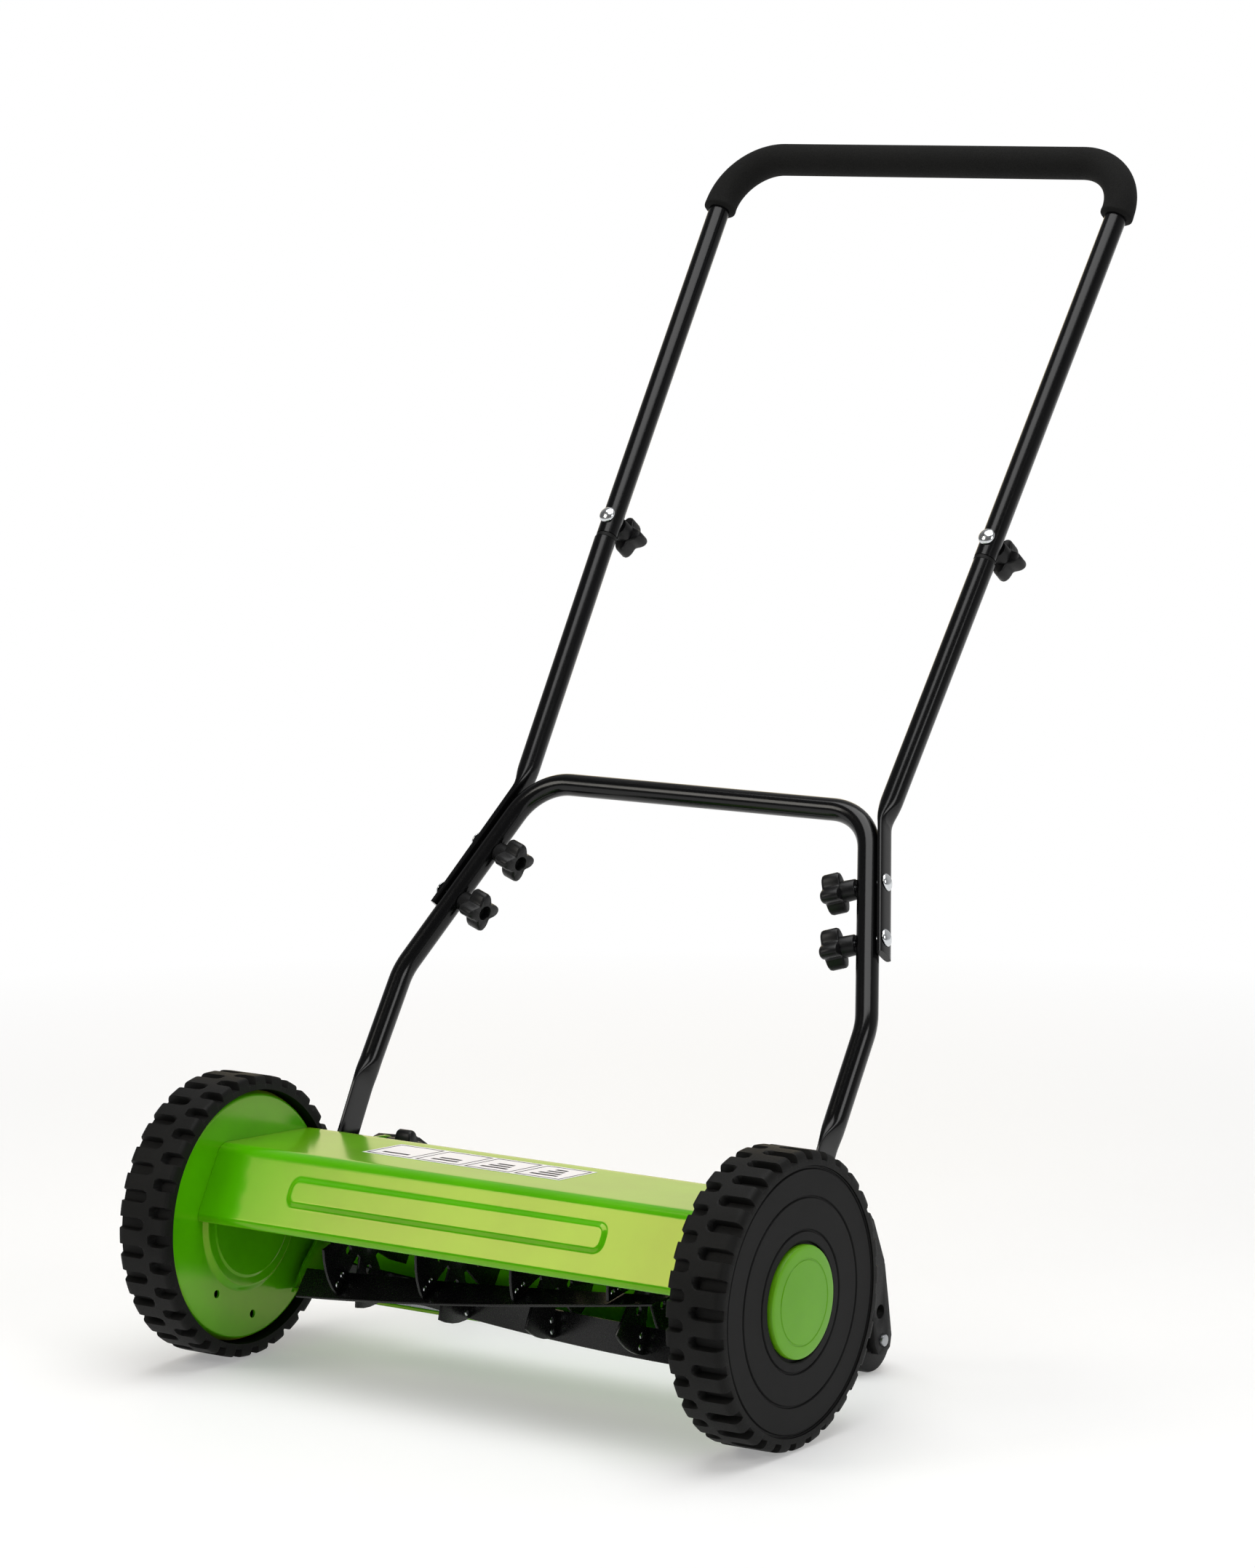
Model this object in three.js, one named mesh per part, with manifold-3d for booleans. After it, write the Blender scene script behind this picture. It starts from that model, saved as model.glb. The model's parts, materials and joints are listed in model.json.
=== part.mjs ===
// Push reel mower: two wheels, a five-blade reel geared to them, a sheet-metal deck,
// a rear roller and a three-piece tubular handle. Millimetres, +Z up.
// +X is one end of the axle, the deck's front faces -Y and the handle leans back towards +Y.
import * as THREE from 'three';
import { mergeVertices } from 'three/addons/utils/BufferGeometryUtils.js';
import Module from 'manifold-3d';

const wasm = await Module();
wasm.setup();

// ---------------------------------------------------------------- driving dimensions
const GAP = 0.3; // air between pieces that touch
const WHEEL_R = 117.5; // over the tread lugs
const TREAD_IN = 243; // inner edge of the tread, from the mower's middle
const TREAD_OUT = 293;
const TYRE_BORE = 105.8; // the tyre sits on the rim here
const SLOTS = 32; // tread slots in each of the two rows
const SLOT_W = 9.5;
const SLOT_DEPTH = 6;
const OUTER_SLOT = 27; // slot lengths along the axle
const INNER_SLOT = 17;
const WHEEL_FACE = 292; // flat outer face of the wheel disc
const AXLE_R = 6;

const GEAR_MODULE = 1.5;
const RING_TEETH = 40;
const PINION_TEETH = 13;
const GEAR_OFFSET = (GEAR_MODULE * (RING_TEETH - PINION_TEETH)) / 2; // axle to reel shaft
const GEAR_ANGLE = THREE.MathUtils.degToRad(-15); // reel shaft lies behind and below the axle
const GEAR_IN = 257; // ring gear's inner face, from the middle
const GEAR_W = 12;

const AXLE = { y: 0, z: WHEEL_R };
const REEL = {
  y: GEAR_OFFSET * Math.cos(GEAR_ANGLE),
  z: WHEEL_R + GEAR_OFFSET * Math.sin(GEAR_ANGLE),
};
const REEL_R = 64.5; // over the blades' cutting edges
const BLADES = 5;
const BLADE_W = 26;
const BLADE_T = 2;
const BLADE_LEN = 368;
const BLADE_START = 207; // degrees, first blade at the reel's middle
const BLADE_TWIST = -0.133; // degrees per millimetre along the shaft
const SPIDER_X = [-139.5, -46.5, 46.5, 139.5];
const SPIDER_R = 61;
const SPIDER_T = 2.5;
const SHAFT_R = 6;

const PLATE_IN = 248; // inner face of a side plate
const PLATE_R = 105;
const PLATE_T = 2;
const BOSS_R = 58; // raised round boss around the axle
const BOSS_RISE = 4.5;
const SHEET = 2; // deck sheet
const DECK_HALF = PLATE_IN - GAP;
const BAR_T = 3; // cutter bar sheet
const BAR_HALF = 241;

const PIVOT = { y: 96, z: 135 }; // handle hinge on the chassis
const CLAMP = { y: 141, z: 156 }; // roller arm hinge
const ROLLER = { y: 240, z: 28 };
const ROLLER_R = 28;
const ARM_X = 217.5; // middle of a roller arm
const ARM_T = 7;

const TUBE_R = 9.5;
const TUBE_BORE = 8;
const SLOPE = THREE.MathUtils.degToRad(54.8); // handle above the leg bend
const LEG_X = 231.5;
const STRAP_T = 3.5;
const STRAP_W = 28;
const NOTCH = { y: 137.5, z: 213 }; // where the round tube ends and the flat strap begins
const BEND = { y: 193.5, z: 298.1 }; // leg bend, start of the sloping handle plane
const LEG_LEAN = -0.345; // the legs close in by this much per millimetre of slope
const CROSSBAR_S = 189; // distances up the slope from the leg bend
const MIDDLE_END_S = 63.4;
const MIDDLE_BEND_S = 184;
const JOINT_S = 449.9;
const TOP_BAR_S = 831.9;
const JOINT_X = 192.3;
const TOP_X = 205.4;
const GRIP_END_S = 776.4;
const CORNER_R = 50;
const CROSSBAR_R = 48;
const FLAT_T = 6; // the middle tubes are pressed nearly flat where they lie beside the legs
const FLAT_W = 23;
const GRIP_R = 15;
const KNOB_R = 17;
const KNOB_S = [73.1, 122.5]; // bolts through leg and middle tube
const BOLT_R = 3;

// ---------------------------------------------------------------- colours and finishes
const paint = { green: '#46b800', black: '#161618' };
const finish = {
  greenPaint: { color: paint.green, roughness: 0.25, metalness: 0 },
  blackPaint: { color: paint.black, roughness: 0.3, metalness: 0 },
  blackPlastic: { color: '#262626', roughness: 0.55, metalness: 0 },
  greenPlastic: { color: '#62ac12', roughness: 0.4, metalness: 0 },
  steel: { color: '#9a9da0', roughness: 0.35, metalness: 1 },
  zinc: { color: '#c8cacc', roughness: 0.25, metalness: 1 },
  nylon: { color: '#d8d4c8', roughness: 0.5, metalness: 0 },
  foam: { color: '#0d0d0d', roughness: 0.95, metalness: 0 },
};

const mower = new THREE.Group();

function add(name, geometry, look, parent = mower) {
  const mesh = new THREE.Mesh(geometry, new THREE.MeshStandardMaterial(finish[look]));
  mesh.name = name;
  parent.add(mesh);
  return mesh;
}

// ---------------------------------------------------------------- solids
function solid(geometry) {
  const bare = geometry.clone();
  bare.deleteAttribute('normal');
  bare.deleteAttribute('uv');
  const merged = mergeVertices(bare, 1e-4);
  return new wasm.Manifold(new wasm.Mesh({
    numProp: 3,
    vertProperties: new Float32Array(merged.attributes.position.array),
    triVerts: new Uint32Array(merged.index.array),
  }));
}

function geometryOf(manifold) {
  const mesh = manifold.getMesh();
  const geometry = new THREE.BufferGeometry();
  geometry.setAttribute('position', new THREE.BufferAttribute(mesh.vertProperties, 3));
  geometry.setIndex(new THREE.BufferAttribute(mesh.triVerts, 1));
  return geometry;
}

function cut(geometry, tools) {
  return geometryOf(tools.reduce((body, tool) => body.subtract(solid(tool)), solid(geometry)));
}

function join(geometries) {
  return geometryOf(geometries.slice(1).reduce((body, other) => body.add(solid(other)),
    solid(geometries[0])));
}

// Mirroring turns faces inside out, so each triangle's winding is reversed as well.
function mirrored(geometry) {
  const copy = geometry.index ? geometry.clone() : mergeVertices(geometry, 1e-4);
  copy.scale(-1, 1, 1);
  const index = copy.index.array;
  for (let i = 0; i < index.length; i += 3) {
    [index[i], index[i + 1]] = [index[i + 1], index[i]];
  }
  return copy;
}

// Adds the piece made for the +X side, and its mirror image, as name_right and name_left.
function addPair(name, geometry, look) {
  add(`${name}_right`, geometry, look);
  add(`${name}_left`, mirrored(geometry), look);
}

// A round body about an axis parallel to X. The profile gives [radius, x] pairs.
function turned(profile, centre, segments = 32) {
  const points = profile.map(([radius, x]) => new THREE.Vector2(radius, x));
  const geometry = new THREE.LatheGeometry(points, segments);
  geometry.rotateZ(-Math.PI / 2);
  geometry.rotateX(Math.PI);
  const outward = signedVolume(geometry) > 0 ? geometry : flipped(geometry);
  return outward.translate(0, centre.y, centre.z);
}

function signedVolume(geometry) {
  const flat = geometry.index ? geometry.toNonIndexed() : geometry;
  const p = flat.attributes.position;
  const a = new THREE.Vector3();
  const b = new THREE.Vector3();
  const c = new THREE.Vector3();
  let volume = 0;
  for (let i = 0; i < p.count; i += 3) {
    a.fromBufferAttribute(p, i);
    b.fromBufferAttribute(p, i + 1);
    c.fromBufferAttribute(p, i + 2);
    volume += a.dot(b.cross(c)) / 6;
  }
  return volume;
}

function flipped(geometry) {
  const index = geometry.index.array;
  for (let i = 0; i < index.length; i += 3) {
    [index[i], index[i + 1]] = [index[i + 1], index[i]];
  }
  return geometry;
}

// A plain cylinder along X between two x values.
function pin(radius, from, to, centre, segments = 14) {
  const geometry = new THREE.CylinderGeometry(radius, radius, Math.abs(to - from), segments);
  geometry.rotateZ(Math.PI / 2);
  return geometry.translate((from + to) / 2, centre.y, centre.z);
}

// A flat plate in a YZ plane, between two x values. The outline gives [y, z] pairs.
function plate(outline, from, to) {
  const shape = new THREE.Shape(outline.map(([y, z]) => new THREE.Vector2(y, z)));
  const geometry = new THREE.ExtrudeGeometry(shape, { depth: to - from, bevelEnabled: false });
  geometry.rotateY(Math.PI / 2);
  geometry.rotateX(Math.PI / 2);
  return geometry.translate(from, 0, 0);
}

// Outline of a bent sheet: the path is its middle line, with mitred corners.
function sheetOutline(path, thickness) {
  const side = (sign) => path.map(([y, z], i) => {
    const before = path[Math.max(i - 1, 0)];
    const after = path[Math.min(i + 1, path.length - 1)];
    const d1 = new THREE.Vector2(y - before[0], z - before[1]).normalize();
    const d2 = new THREE.Vector2(after[0] - y, after[1] - z).normalize();
    const first = i === 0 ? d2 : d1;
    const second = i === path.length - 1 ? d1 : d2;
    const normal = new THREE.Vector2(-first.y - second.y, first.x + second.x).normalize();
    const reach = (sign * thickness) / 2 / (normal.x * -first.y + normal.y * first.x);
    return [y + normal.x * reach, z + normal.y * reach];
  });
  return [...side(1), ...side(-1).reverse()];
}

// A point at a radius and an angle in degrees from a centre, and an arc of such points.
function polar([cy, cz], radius, degrees) {
  const angle = THREE.MathUtils.degToRad(degrees);
  return [cy + radius * Math.cos(angle), cz + radius * Math.sin(angle)];
}

function arc(centre, radius, from, to, steps) {
  return Array.from({ length: steps + 1 }, (_, i) => (
    polar(centre, radius, from + ((to - from) * i) / steps)));
}

// A rounded outline around a chain of circles [y, z, radius], each joined to the next.
function linked(circles, from, to, steps = 10) {
  const links = circles.slice(1).map((end, i) => {
    const start = circles[i];
    const turn = Math.atan2(end[1] - start[1], end[0] - start[0]) * THREE.MathUtils.RAD2DEG;
    return plate([
      ...arc(start, start[2], turn + 90, turn + 270, steps),
      ...arc(end, end[2], turn - 90, turn + 90, steps),
    ], from, to);
  });
  return links.length > 1 ? join(links) : links[0];
}

// ---------------------------------------------------------------- tubes along a path
// A path that keeps the given stations, so straight runs need no rings between their ends.
class Stations extends THREE.Curve {
  constructor(points) {
    super();
    this.points = points;
  }

  getPoint(t, target = new THREE.Vector3()) {
    const place = Math.min(Math.max(t, 0), 1) * (this.points.length - 1);
    const i = Math.min(Math.floor(place), this.points.length - 2);
    return target.lerpVectors(this.points[i], this.points[i + 1], place - i);
  }

  getPointAt(u, target) {
    return this.getPoint(u, target);
  }

  // Half-way between the runs on both sides, so every ring is a true mitre.
  getTangentAt(u, target = new THREE.Vector3()) {
    const last = this.points.length - 1;
    const i = Math.round(u * last);
    const run = (k) => this.points[k + 1].clone().sub(this.points[k]).normalize();
    const before = run(Math.max(i - 1, 0));
    return target.copy(before).add(run(Math.min(i, last - 1))).normalize();
  }
}

// Rounds each inner corner of a polyline with an arc of the given radius.
function rounded(corners, radii, steps = 4) {
  const points = [corners[0]];
  for (let i = 1; i < corners.length - 1; i += 1) {
    const back = corners[i - 1].clone().sub(corners[i]).normalize();
    const on = corners[i + 1].clone().sub(corners[i]).normalize();
    const half = back.angleTo(on) / 2;
    const start = corners[i].clone().addScaledVector(back, radii[i - 1] / Math.tan(half));
    const end = corners[i].clone().addScaledVector(on, radii[i - 1] / Math.tan(half));
    const middle = back.clone().add(on).normalize();
    const centre = corners[i].clone().addScaledVector(middle, radii[i - 1] / Math.sin(half));
    const arm = start.clone().sub(centre);
    const axis = arm.clone().cross(end.clone().sub(centre)).normalize();
    for (let k = 0; k <= steps; k += 1) {
      const turn = ((Math.PI - 2 * half) * k) / steps;
      points.push(arm.clone().applyAxisAngle(axis, turn).add(centre));
    }
  }
  points.push(corners[corners.length - 1]);
  return points;
}

function ring(a, b, sides) {
  return Array.from({ length: sides }, (_, i) => {
    const angle = (2 * Math.PI * i) / sides;
    return new THREE.Vector2(a * Math.cos(angle), b * Math.sin(angle));
  });
}

// A solid round bar along a path.
function tube(points, radius, sides = 10) {
  return new THREE.ExtrudeGeometry(new THREE.Shape(ring(radius, radius, sides)), {
    steps: points.length - 1,
    extrudePath: new Stations(points),
    bevelEnabled: false,
  });
}

// The same path with both ends carried on in line, for a bore that breaks through.
function extended(points, by = 2) {
  const carry = (end, next) => end.clone().add(end.clone().sub(next).setLength(by));
  const last = points.length - 1;
  return [
    carry(points[0], points[1]),
    ...points.slice(1, last),
    carry(points[last], points[last - 1]),
  ];
}

// A point of the sloping handle plane: s millimetres up the slope from the leg bend.
function onSlope(x, s) {
  return new THREE.Vector3(x, BEND.y + s * Math.cos(SLOPE), BEND.z + s * Math.sin(SLOPE));
}

const legX = (s) => LEG_X + LEG_LEAN * s;

// ---------------------------------------------------------------- wheels
function tyre() {
  const body = turned([
    [TYRE_BORE, TREAD_IN],
    [112, TREAD_IN],
    [WHEEL_R, TREAD_IN + 3],
    [WHEEL_R, TREAD_OUT - 5],
    [111, TREAD_OUT],
    [TYRE_BORE, TREAD_OUT],
    [TYRE_BORE, TREAD_IN],
  ], AXLE, SLOTS);
  const slots = [];
  for (let i = 0; i < SLOTS; i += 1) {
    const pitch = (2 * Math.PI) / SLOTS;
    slots.push(slot(TREAD_OUT - OUTER_SLOT, TREAD_OUT + 1, (i + 0.5) * pitch));
    slots.push(slot(TREAD_IN - 1, TREAD_IN + INNER_SLOT, i * pitch));
  }
  return cut(body, slots);
}

function slot(from, to, angle) {
  const box = new THREE.BoxGeometry(to - from, SLOT_W, 2 * SLOT_DEPTH);
  box.translate((from + to) / 2, 0, WHEEL_R);
  return box.rotateX(angle).translate(0, AXLE.y, AXLE.z);
}

// Straight-flanked gear teeth, thinned so that a meshing pair keeps clearance.
function gearOutline(teeth, centre, tipR, rootR, tipShare, rootShare, phase) {
  const pitch = 360 / teeth;
  return Array.from({ length: teeth }, (_, i) => {
    const middle = phase + i * pitch;
    return [
      polar(centre, rootR, middle - (rootShare * pitch) / 2),
      polar(centre, tipR, middle - (tipShare * pitch) / 2),
      polar(centre, tipR, middle + (tipShare * pitch) / 2),
      polar(centre, rootR, middle + (rootShare * pitch) / 2),
    ];
  }).flat();
}

const RING_PITCH_R = (GEAR_MODULE * RING_TEETH) / 2;
const PINION_PITCH_R = (GEAR_MODULE * PINION_TEETH) / 2;
const ADDENDUM = 0.8 * GEAR_MODULE;
const DEDENDUM = 1.2 * GEAR_MODULE;
const MESH_ANGLE = THREE.MathUtils.radToDeg(GEAR_ANGLE);

// The rim is a polygon inside the tyre's polygon, so both keep their flats in line.
const RIM_R = TYRE_BORE - GAP;

function rim() {
  const body = turned([
    [AXLE_R + GAP, 274],
    [13, 274],
    [13, 286],
    [36.5, 286],
    [36.5, GEAR_IN],
    [40, GEAR_IN],
    [40, 286],
    [102, 286],
    [102, 258],
    [RIM_R, 258],
    [RIM_R, WHEEL_FACE],
    [47, WHEEL_FACE],
    [47, 288.5],
    [AXLE_R + GAP, 288.5],
    [AXLE_R + GAP, 274],
  ], AXLE, SLOTS);
  const phase = MESH_ANGLE + 180 / RING_TEETH;
  const outline = gearOutline(RING_TEETH, [AXLE.y, AXLE.z], RING_PITCH_R - ADDENDUM,
    RING_PITCH_R + DEDENDUM, 0.2, 0.52, phase);
  const teeth = plate(outline, GEAR_IN - 1, GEAR_IN + GEAR_W);
  const gear = cut(pin(37.5, GEAR_IN, GEAR_IN + GEAR_W - 0.5, AXLE, SLOTS), [teeth]);
  return join([body, gear]);
}

function hubCap() {
  return turned([
    [0, 289],
    [44.7, 289],
    [44.7, 294],
    [30, 295.7],
    [0, 296],
  ], AXLE, 32);
}

// The axle stub is riveted into the side plate and carries a retaining collar.
function axleStub() {
  return turned([
    [0, 239.5],
    [9.4, 239.5],
    [9.4, PLATE_IN - BOSS_RISE - GAP],
    [AXLE_R + 1, PLATE_IN - BOSS_RISE - GAP],
    [AXLE_R + 1, 252],
    [AXLE_R, 252],
    [AXLE_R, 288.5],
    [0, 288.5],
  ], AXLE, 20);
}

function pinion() {
  const outline = gearOutline(PINION_TEETH, [REEL.y, REEL.z], PINION_PITCH_R + ADDENDUM,
    PINION_PITCH_R - DEDENDUM, 0.2, 0.55, MESH_ANGLE);
  const body = plate(outline, GEAR_IN + 0.5, GEAR_IN + GEAR_W - 1);
  return cut(body, [pin(SHAFT_R - 1 + GAP, GEAR_IN - 2, GEAR_IN + GEAR_W + 2, REEL)]);
}

addPair('tyre', tyre(), 'blackPlastic');
addPair('rim', rim(), 'blackPlastic');
addPair('hub_cap', hubCap(), 'greenPlastic');
addPair('wheel_axle', axleStub(), 'steel');
addPair('pinion', pinion(), 'steel');

// ---------------------------------------------------------------- reel
function reelShaft() {
  const end = GEAR_IN + GEAR_W - 0.5;
  const neck = GEAR_IN - 2.5;
  return turned([
    [0, -end],
    [SHAFT_R - 1, -end],
    [SHAFT_R - 1, -neck],
    [SHAFT_R, -neck],
    [SHAFT_R, neck],
    [SHAFT_R - 1, neck],
    [SHAFT_R - 1, end],
    [0, end],
  ], REEL, 16);
}

// Each arm is a fin whose straight edge backs one blade and whose outside follows a circle.
function spider(x) {
  const centre = [REEL.y, REEL.z];
  const backing = BLADE_T / 2 + 0.7; // keeps the straight edge clear of the twisting blade
  const outline = [];
  for (let i = 0; i < BLADES; i += 1) {
    const blade = BLADE_START + BLADE_TWIST * x + (360 / BLADES) * i;
    const behind = (radius) => blade - THREE.MathUtils.radToDeg(Math.asin(backing / radius));
    outline.push(polar(centre, 21, blade - 64), polar(centre, 40, blade - 52));
    outline.push(...arc(centre, SPIDER_R, blade - 44, behind(SPIDER_R), 5));
    outline.push(polar(centre, 33, behind(33)), polar(centre, 21, blade - 4));
  }
  return cut(plate(outline, x - SPIDER_T / 2, x + SPIDER_T / 2), [
    pin(SHAFT_R + GAP, x - SPIDER_T, x + SPIDER_T, REEL),
  ]);
}

function blade(i) {
  const strip = new THREE.BoxGeometry(BLADE_LEN, BLADE_W, BLADE_T, 12, 1, 1);
  strip.translate(0, REEL_R - BLADE_W / 2, 0);
  const place = strip.attributes.position;
  const point = new THREE.Vector3();
  const along = new THREE.Vector3(1, 0, 0);
  for (let k = 0; k < place.count; k += 1) {
    point.fromBufferAttribute(place, k);
    const turn = BLADE_START + BLADE_TWIST * point.x + (360 / BLADES) * i;
    point.applyAxisAngle(along, THREE.MathUtils.degToRad(turn));
    place.setXYZ(k, point.x, point.y, point.z);
  }
  return strip.translate(0, REEL.y, REEL.z);
}

add('reel_shaft', reelShaft(), 'blackPaint');
SPIDER_X.forEach((x, i) => add(`reel_spider_${i + 1}`, spider(x), 'blackPaint'));
for (let i = 0; i < BLADES; i += 1) {
  add(`reel_blade_${i + 1}`, blade(i), 'blackPaint');
}

// ---------------------------------------------------------------- chassis
function sidePlate() {
  const boss = PLATE_IN - BOSS_RISE;
  const rimEdge = PLATE_IN + 8;
  const disc = turned([
    [0, boss],
    [BOSS_R, boss],
    [BOSS_R + 4, PLATE_IN],
    [PLATE_R - 4, PLATE_IN],
    [PLATE_R, rimEdge],
    [PLATE_R - PLATE_T, rimEdge],
    [PLATE_R - 5, PLATE_IN + PLATE_T],
    [BOSS_R + 3, PLATE_IN + PLATE_T],
    [BOSS_R - 1, boss + PLATE_T],
    [0, boss + PLATE_T],
  ], AXLE, 36);
  const holes = [
    pin(AXLE_R + 1 + GAP, boss - 3, boss + 6, AXLE),
    pin(9 + GAP, boss - 3, boss + 6, REEL),
  ];
  for (const [y, z] of [[-44, 60], [3, 34], [75, 54]]) {
    holes.push(pin(3.5, PLATE_IN - 3, PLATE_IN + 6, { y, z }, 10));
  }
  return cut(join([disc, handleBracket()]), holes);
}

// The handle hinges on a bracket that stands off the side plate on two round bosses.
const BRACKET_IN = LEG_X + STRAP_T / 2 + 0.6;
const BRACKET_OUT = BRACKET_IN + 2.5;

function handleBracket() {
  const spots = [[72, 154, 11], [PIVOT.y, PIVOT.z, 14], [86, 101, 11]];
  const flat = join([
    linked(spots, BRACKET_IN, BRACKET_OUT, 5),
    ...[spots[0], spots[2]].map(([y, z]) => (
      pin(7, BRACKET_OUT - 1, PLATE_IN + 1, { y, z }, 10))),
  ]);
  return cut(flat, [pin(BOLT_R + 0.4, BRACKET_IN - 2, BRACKET_OUT + 2, PIVOT, 10)]);
}

function reelBearing() {
  const boss = PLATE_IN - BOSS_RISE;
  return turned([
    [SHAFT_R + GAP, boss - 4],
    [10.3, boss - 4],
    [10.3, boss - GAP],
    [9, boss - GAP],
    [9, boss + 6],
    [SHAFT_R + GAP, boss + 6],
    [SHAFT_R + GAP, boss - 4],
  ], REEL, 14);
}

const FRONT_FOLD = [-43, 186]; // where the front panel would meet the top panel
const DECK_REAR = [85, 178.5];

function deckCover() {
  const outline = sheetOutline([
    [-63.5, 125],
    [-66.5, 125.5],
    [-68, 131],
    ...arc([FRONT_FOLD[0] + 13.5, FRONT_FOLD[1] - 13.8], 13, 156, 93, 5),
    [DECK_REAR[0] - 4, DECK_REAR[1] + 0.3],
    [DECK_REAR[0], DECK_REAR[1] - 4],
    [DECK_REAR[0] + 0.5, 162],
  ], SHEET);
  const cover = plate(outline, -DECK_HALF, DECK_HALF);
  const tongue = [
    [DECK_REAR[0] + 0.8, 163],
    [DECK_REAR[0] + 0.3, 171],
    ...arc([CLAMP.y, CLAMP.z], 10, 100, -100, 8),
  ];
  const tongues = [-1, 1].map((side) => {
    const inner = ARM_X - ARM_T / 2 - 0.5 - 2.5;
    const from = side > 0 ? inner : -inner - 2.5;
    return plate(tongue, from, from + 2.5);
  });
  const holes = [pin(BOLT_R + 0.4, -DECK_HALF, DECK_HALF, CLAMP, 12)];
  return cut(join([cover, ...tongues]), holes);
}

const KNIFE_TIP = { y: REEL.y + 25, z: REEL.z - 60 };

function cutterBar() {
  const section = sheetOutline([
    [KNIFE_TIP.y + 3, KNIFE_TIP.z - 5.2],
    [84, 46],
    [104, 92],
  ], BAR_T);
  const cheek = [[46, 45], [78, 41], [104, 50], [106, 84], [84, 88], [62, 66]];
  return join([
    plate(section, -BAR_HALF, BAR_HALF),
    plate(cheek, BAR_HALF - BAR_T, BAR_HALF),
    plate(cheek, -BAR_HALF, BAR_T - BAR_HALF),
  ]);
}

function bedKnife() {
  return plate([
    [KNIFE_TIP.y, KNIFE_TIP.z],
    [KNIFE_TIP.y + 0.2, KNIFE_TIP.z - 2.5],
    [KNIFE_TIP.y + 26, KNIFE_TIP.z - 4.2],
    [KNIFE_TIP.y + 25.8, KNIFE_TIP.z - 1.7],
  ], -190, 190);
}

addPair('side_plate', sidePlate(), 'greenPaint');
addPair('reel_bearing', reelBearing(), 'nylon');
add('deck_cover', deckCover(), 'greenPaint');
add('cutter_bar', cutterBar(), 'greenPaint');
add('bed_knife', bedKnife(), 'steel');
const frontRod = PLATE_IN - BOSS_RISE - GAP;
const rearRod = BAR_HALF - BAR_T - GAP;
add('front_tie_rod', pin(5, -frontRod, frontRod, { y: -38, z: 163 }), 'steel');
add('rear_tie_rod', pin(4, -rearRod, rearRod, { y: 90, z: 84 }), 'blackPaint');

// ---------------------------------------------------------------- rear roller
function rollerArm() {
  const from = ARM_X - ARM_T / 2;
  const to = ARM_X + ARM_T / 2;
  const stations = [
    [CLAMP.y, CLAMP.z, 10.5],
    [186, 146, 10.5],
    [214, 127, 11],
    [231, 90, 11],
    [ROLLER.y - 4, 52, 13],
    [ROLLER.y, ROLLER.z, 13],
  ];
  return cut(linked(stations, from, to, 4), [
    pin(BOLT_R + 0.4, from - 1, to + 1, CLAMP, 12),
    pin(5 + GAP, from - 1, to + 1, ROLLER, 12),
    pin(6, from - 1, to + 1, { y: ROLLER.y - 5, z: 53 }, 12),
  ]);
}

addPair('roller_arm', rollerArm(), 'blackPlastic');
add('roller_axle', pin(5, -ARM_X - ARM_T / 2 - 2, ARM_X + ARM_T / 2 + 2, ROLLER), 'steel');
const rollerHalf = ARM_X - ARM_T / 2 - 1.5;
add('roller', turned([
  [5 + GAP, -rollerHalf],
  [ROLLER_R, -rollerHalf],
  [ROLLER_R, rollerHalf],
  [5 + GAP, rollerHalf],
  [5 + GAP, -rollerHalf],
], ROLLER, 24), 'blackPlastic');

// ---------------------------------------------------------------- handle
// In the handle plane, square to a leg, pointing away from the mower's middle.
const upLeg = onSlope(legX(1), 1).sub(onSlope(legX(0), 0)).normalize();
const planeNormal = new THREE.Vector3(0, -Math.sin(SLOPE), Math.cos(SLOPE));
const outOfLeg = upLeg.clone().cross(planeNormal).normalize();
const MIDDLE_OFFSET = TUBE_R + FLAT_T / 2 + 2 * GAP;
const SLEEVE = 16; // the upper tube ends this far below its bolt
const FLANGE = 4; // the plastic joiner's collar between the tube ends
const outward = new THREE.Vector3(1, 0, 0);
const middleX = (s) => legX(s) + MIDDLE_OFFSET * Math.hypot(1, LEG_LEAN);
const upperX = (s) => JOINT_X + ((TOP_X - JOINT_X) * (s - JOINT_S)) / (TOP_BAR_S - JOINT_S);
const mirrorPoint = (p) => new THREE.Vector3(-p.x, p.y, p.z);

// Turns a piece made along +Y so that it points in the given direction from a point.
function aim(geometry, at, direction) {
  const turn = new THREE.Quaternion().setFromUnitVectors(new THREE.Vector3(0, 1, 0), direction);
  return geometry.applyQuaternion(turn).translate(at.x, at.y, at.z);
}

function boltHole(at, direction, reach) {
  return aim(new THREE.CylinderGeometry(BOLT_R + 0.4, BOLT_R + 0.4, reach, 8), at, direction);
}

// A straight bar with an elliptical section, its wide side along the handle plane's normal.
function ovalBar(start, end, wide, thick) {
  const length = start.distanceTo(end);
  const section = new THREE.Shape(ring(wide, thick, 12));
  const bar = new THREE.ExtrudeGeometry(section, { depth: length, bevelEnabled: false });
  const along = end.clone().sub(start).normalize();
  const side = along.clone().cross(planeNormal).normalize();
  const basis = new THREE.Matrix4().makeBasis(planeNormal, side, along);
  if (basis.determinant() < 0) {
    basis.makeBasis(planeNormal, side.negate(), along);
  }
  return bar.applyMatrix4(basis).translate(start.x, start.y, start.z);
}

function hollowed(outer, inner) {
  return geometryOf(solid(outer).subtract(solid(inner)));
}

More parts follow.
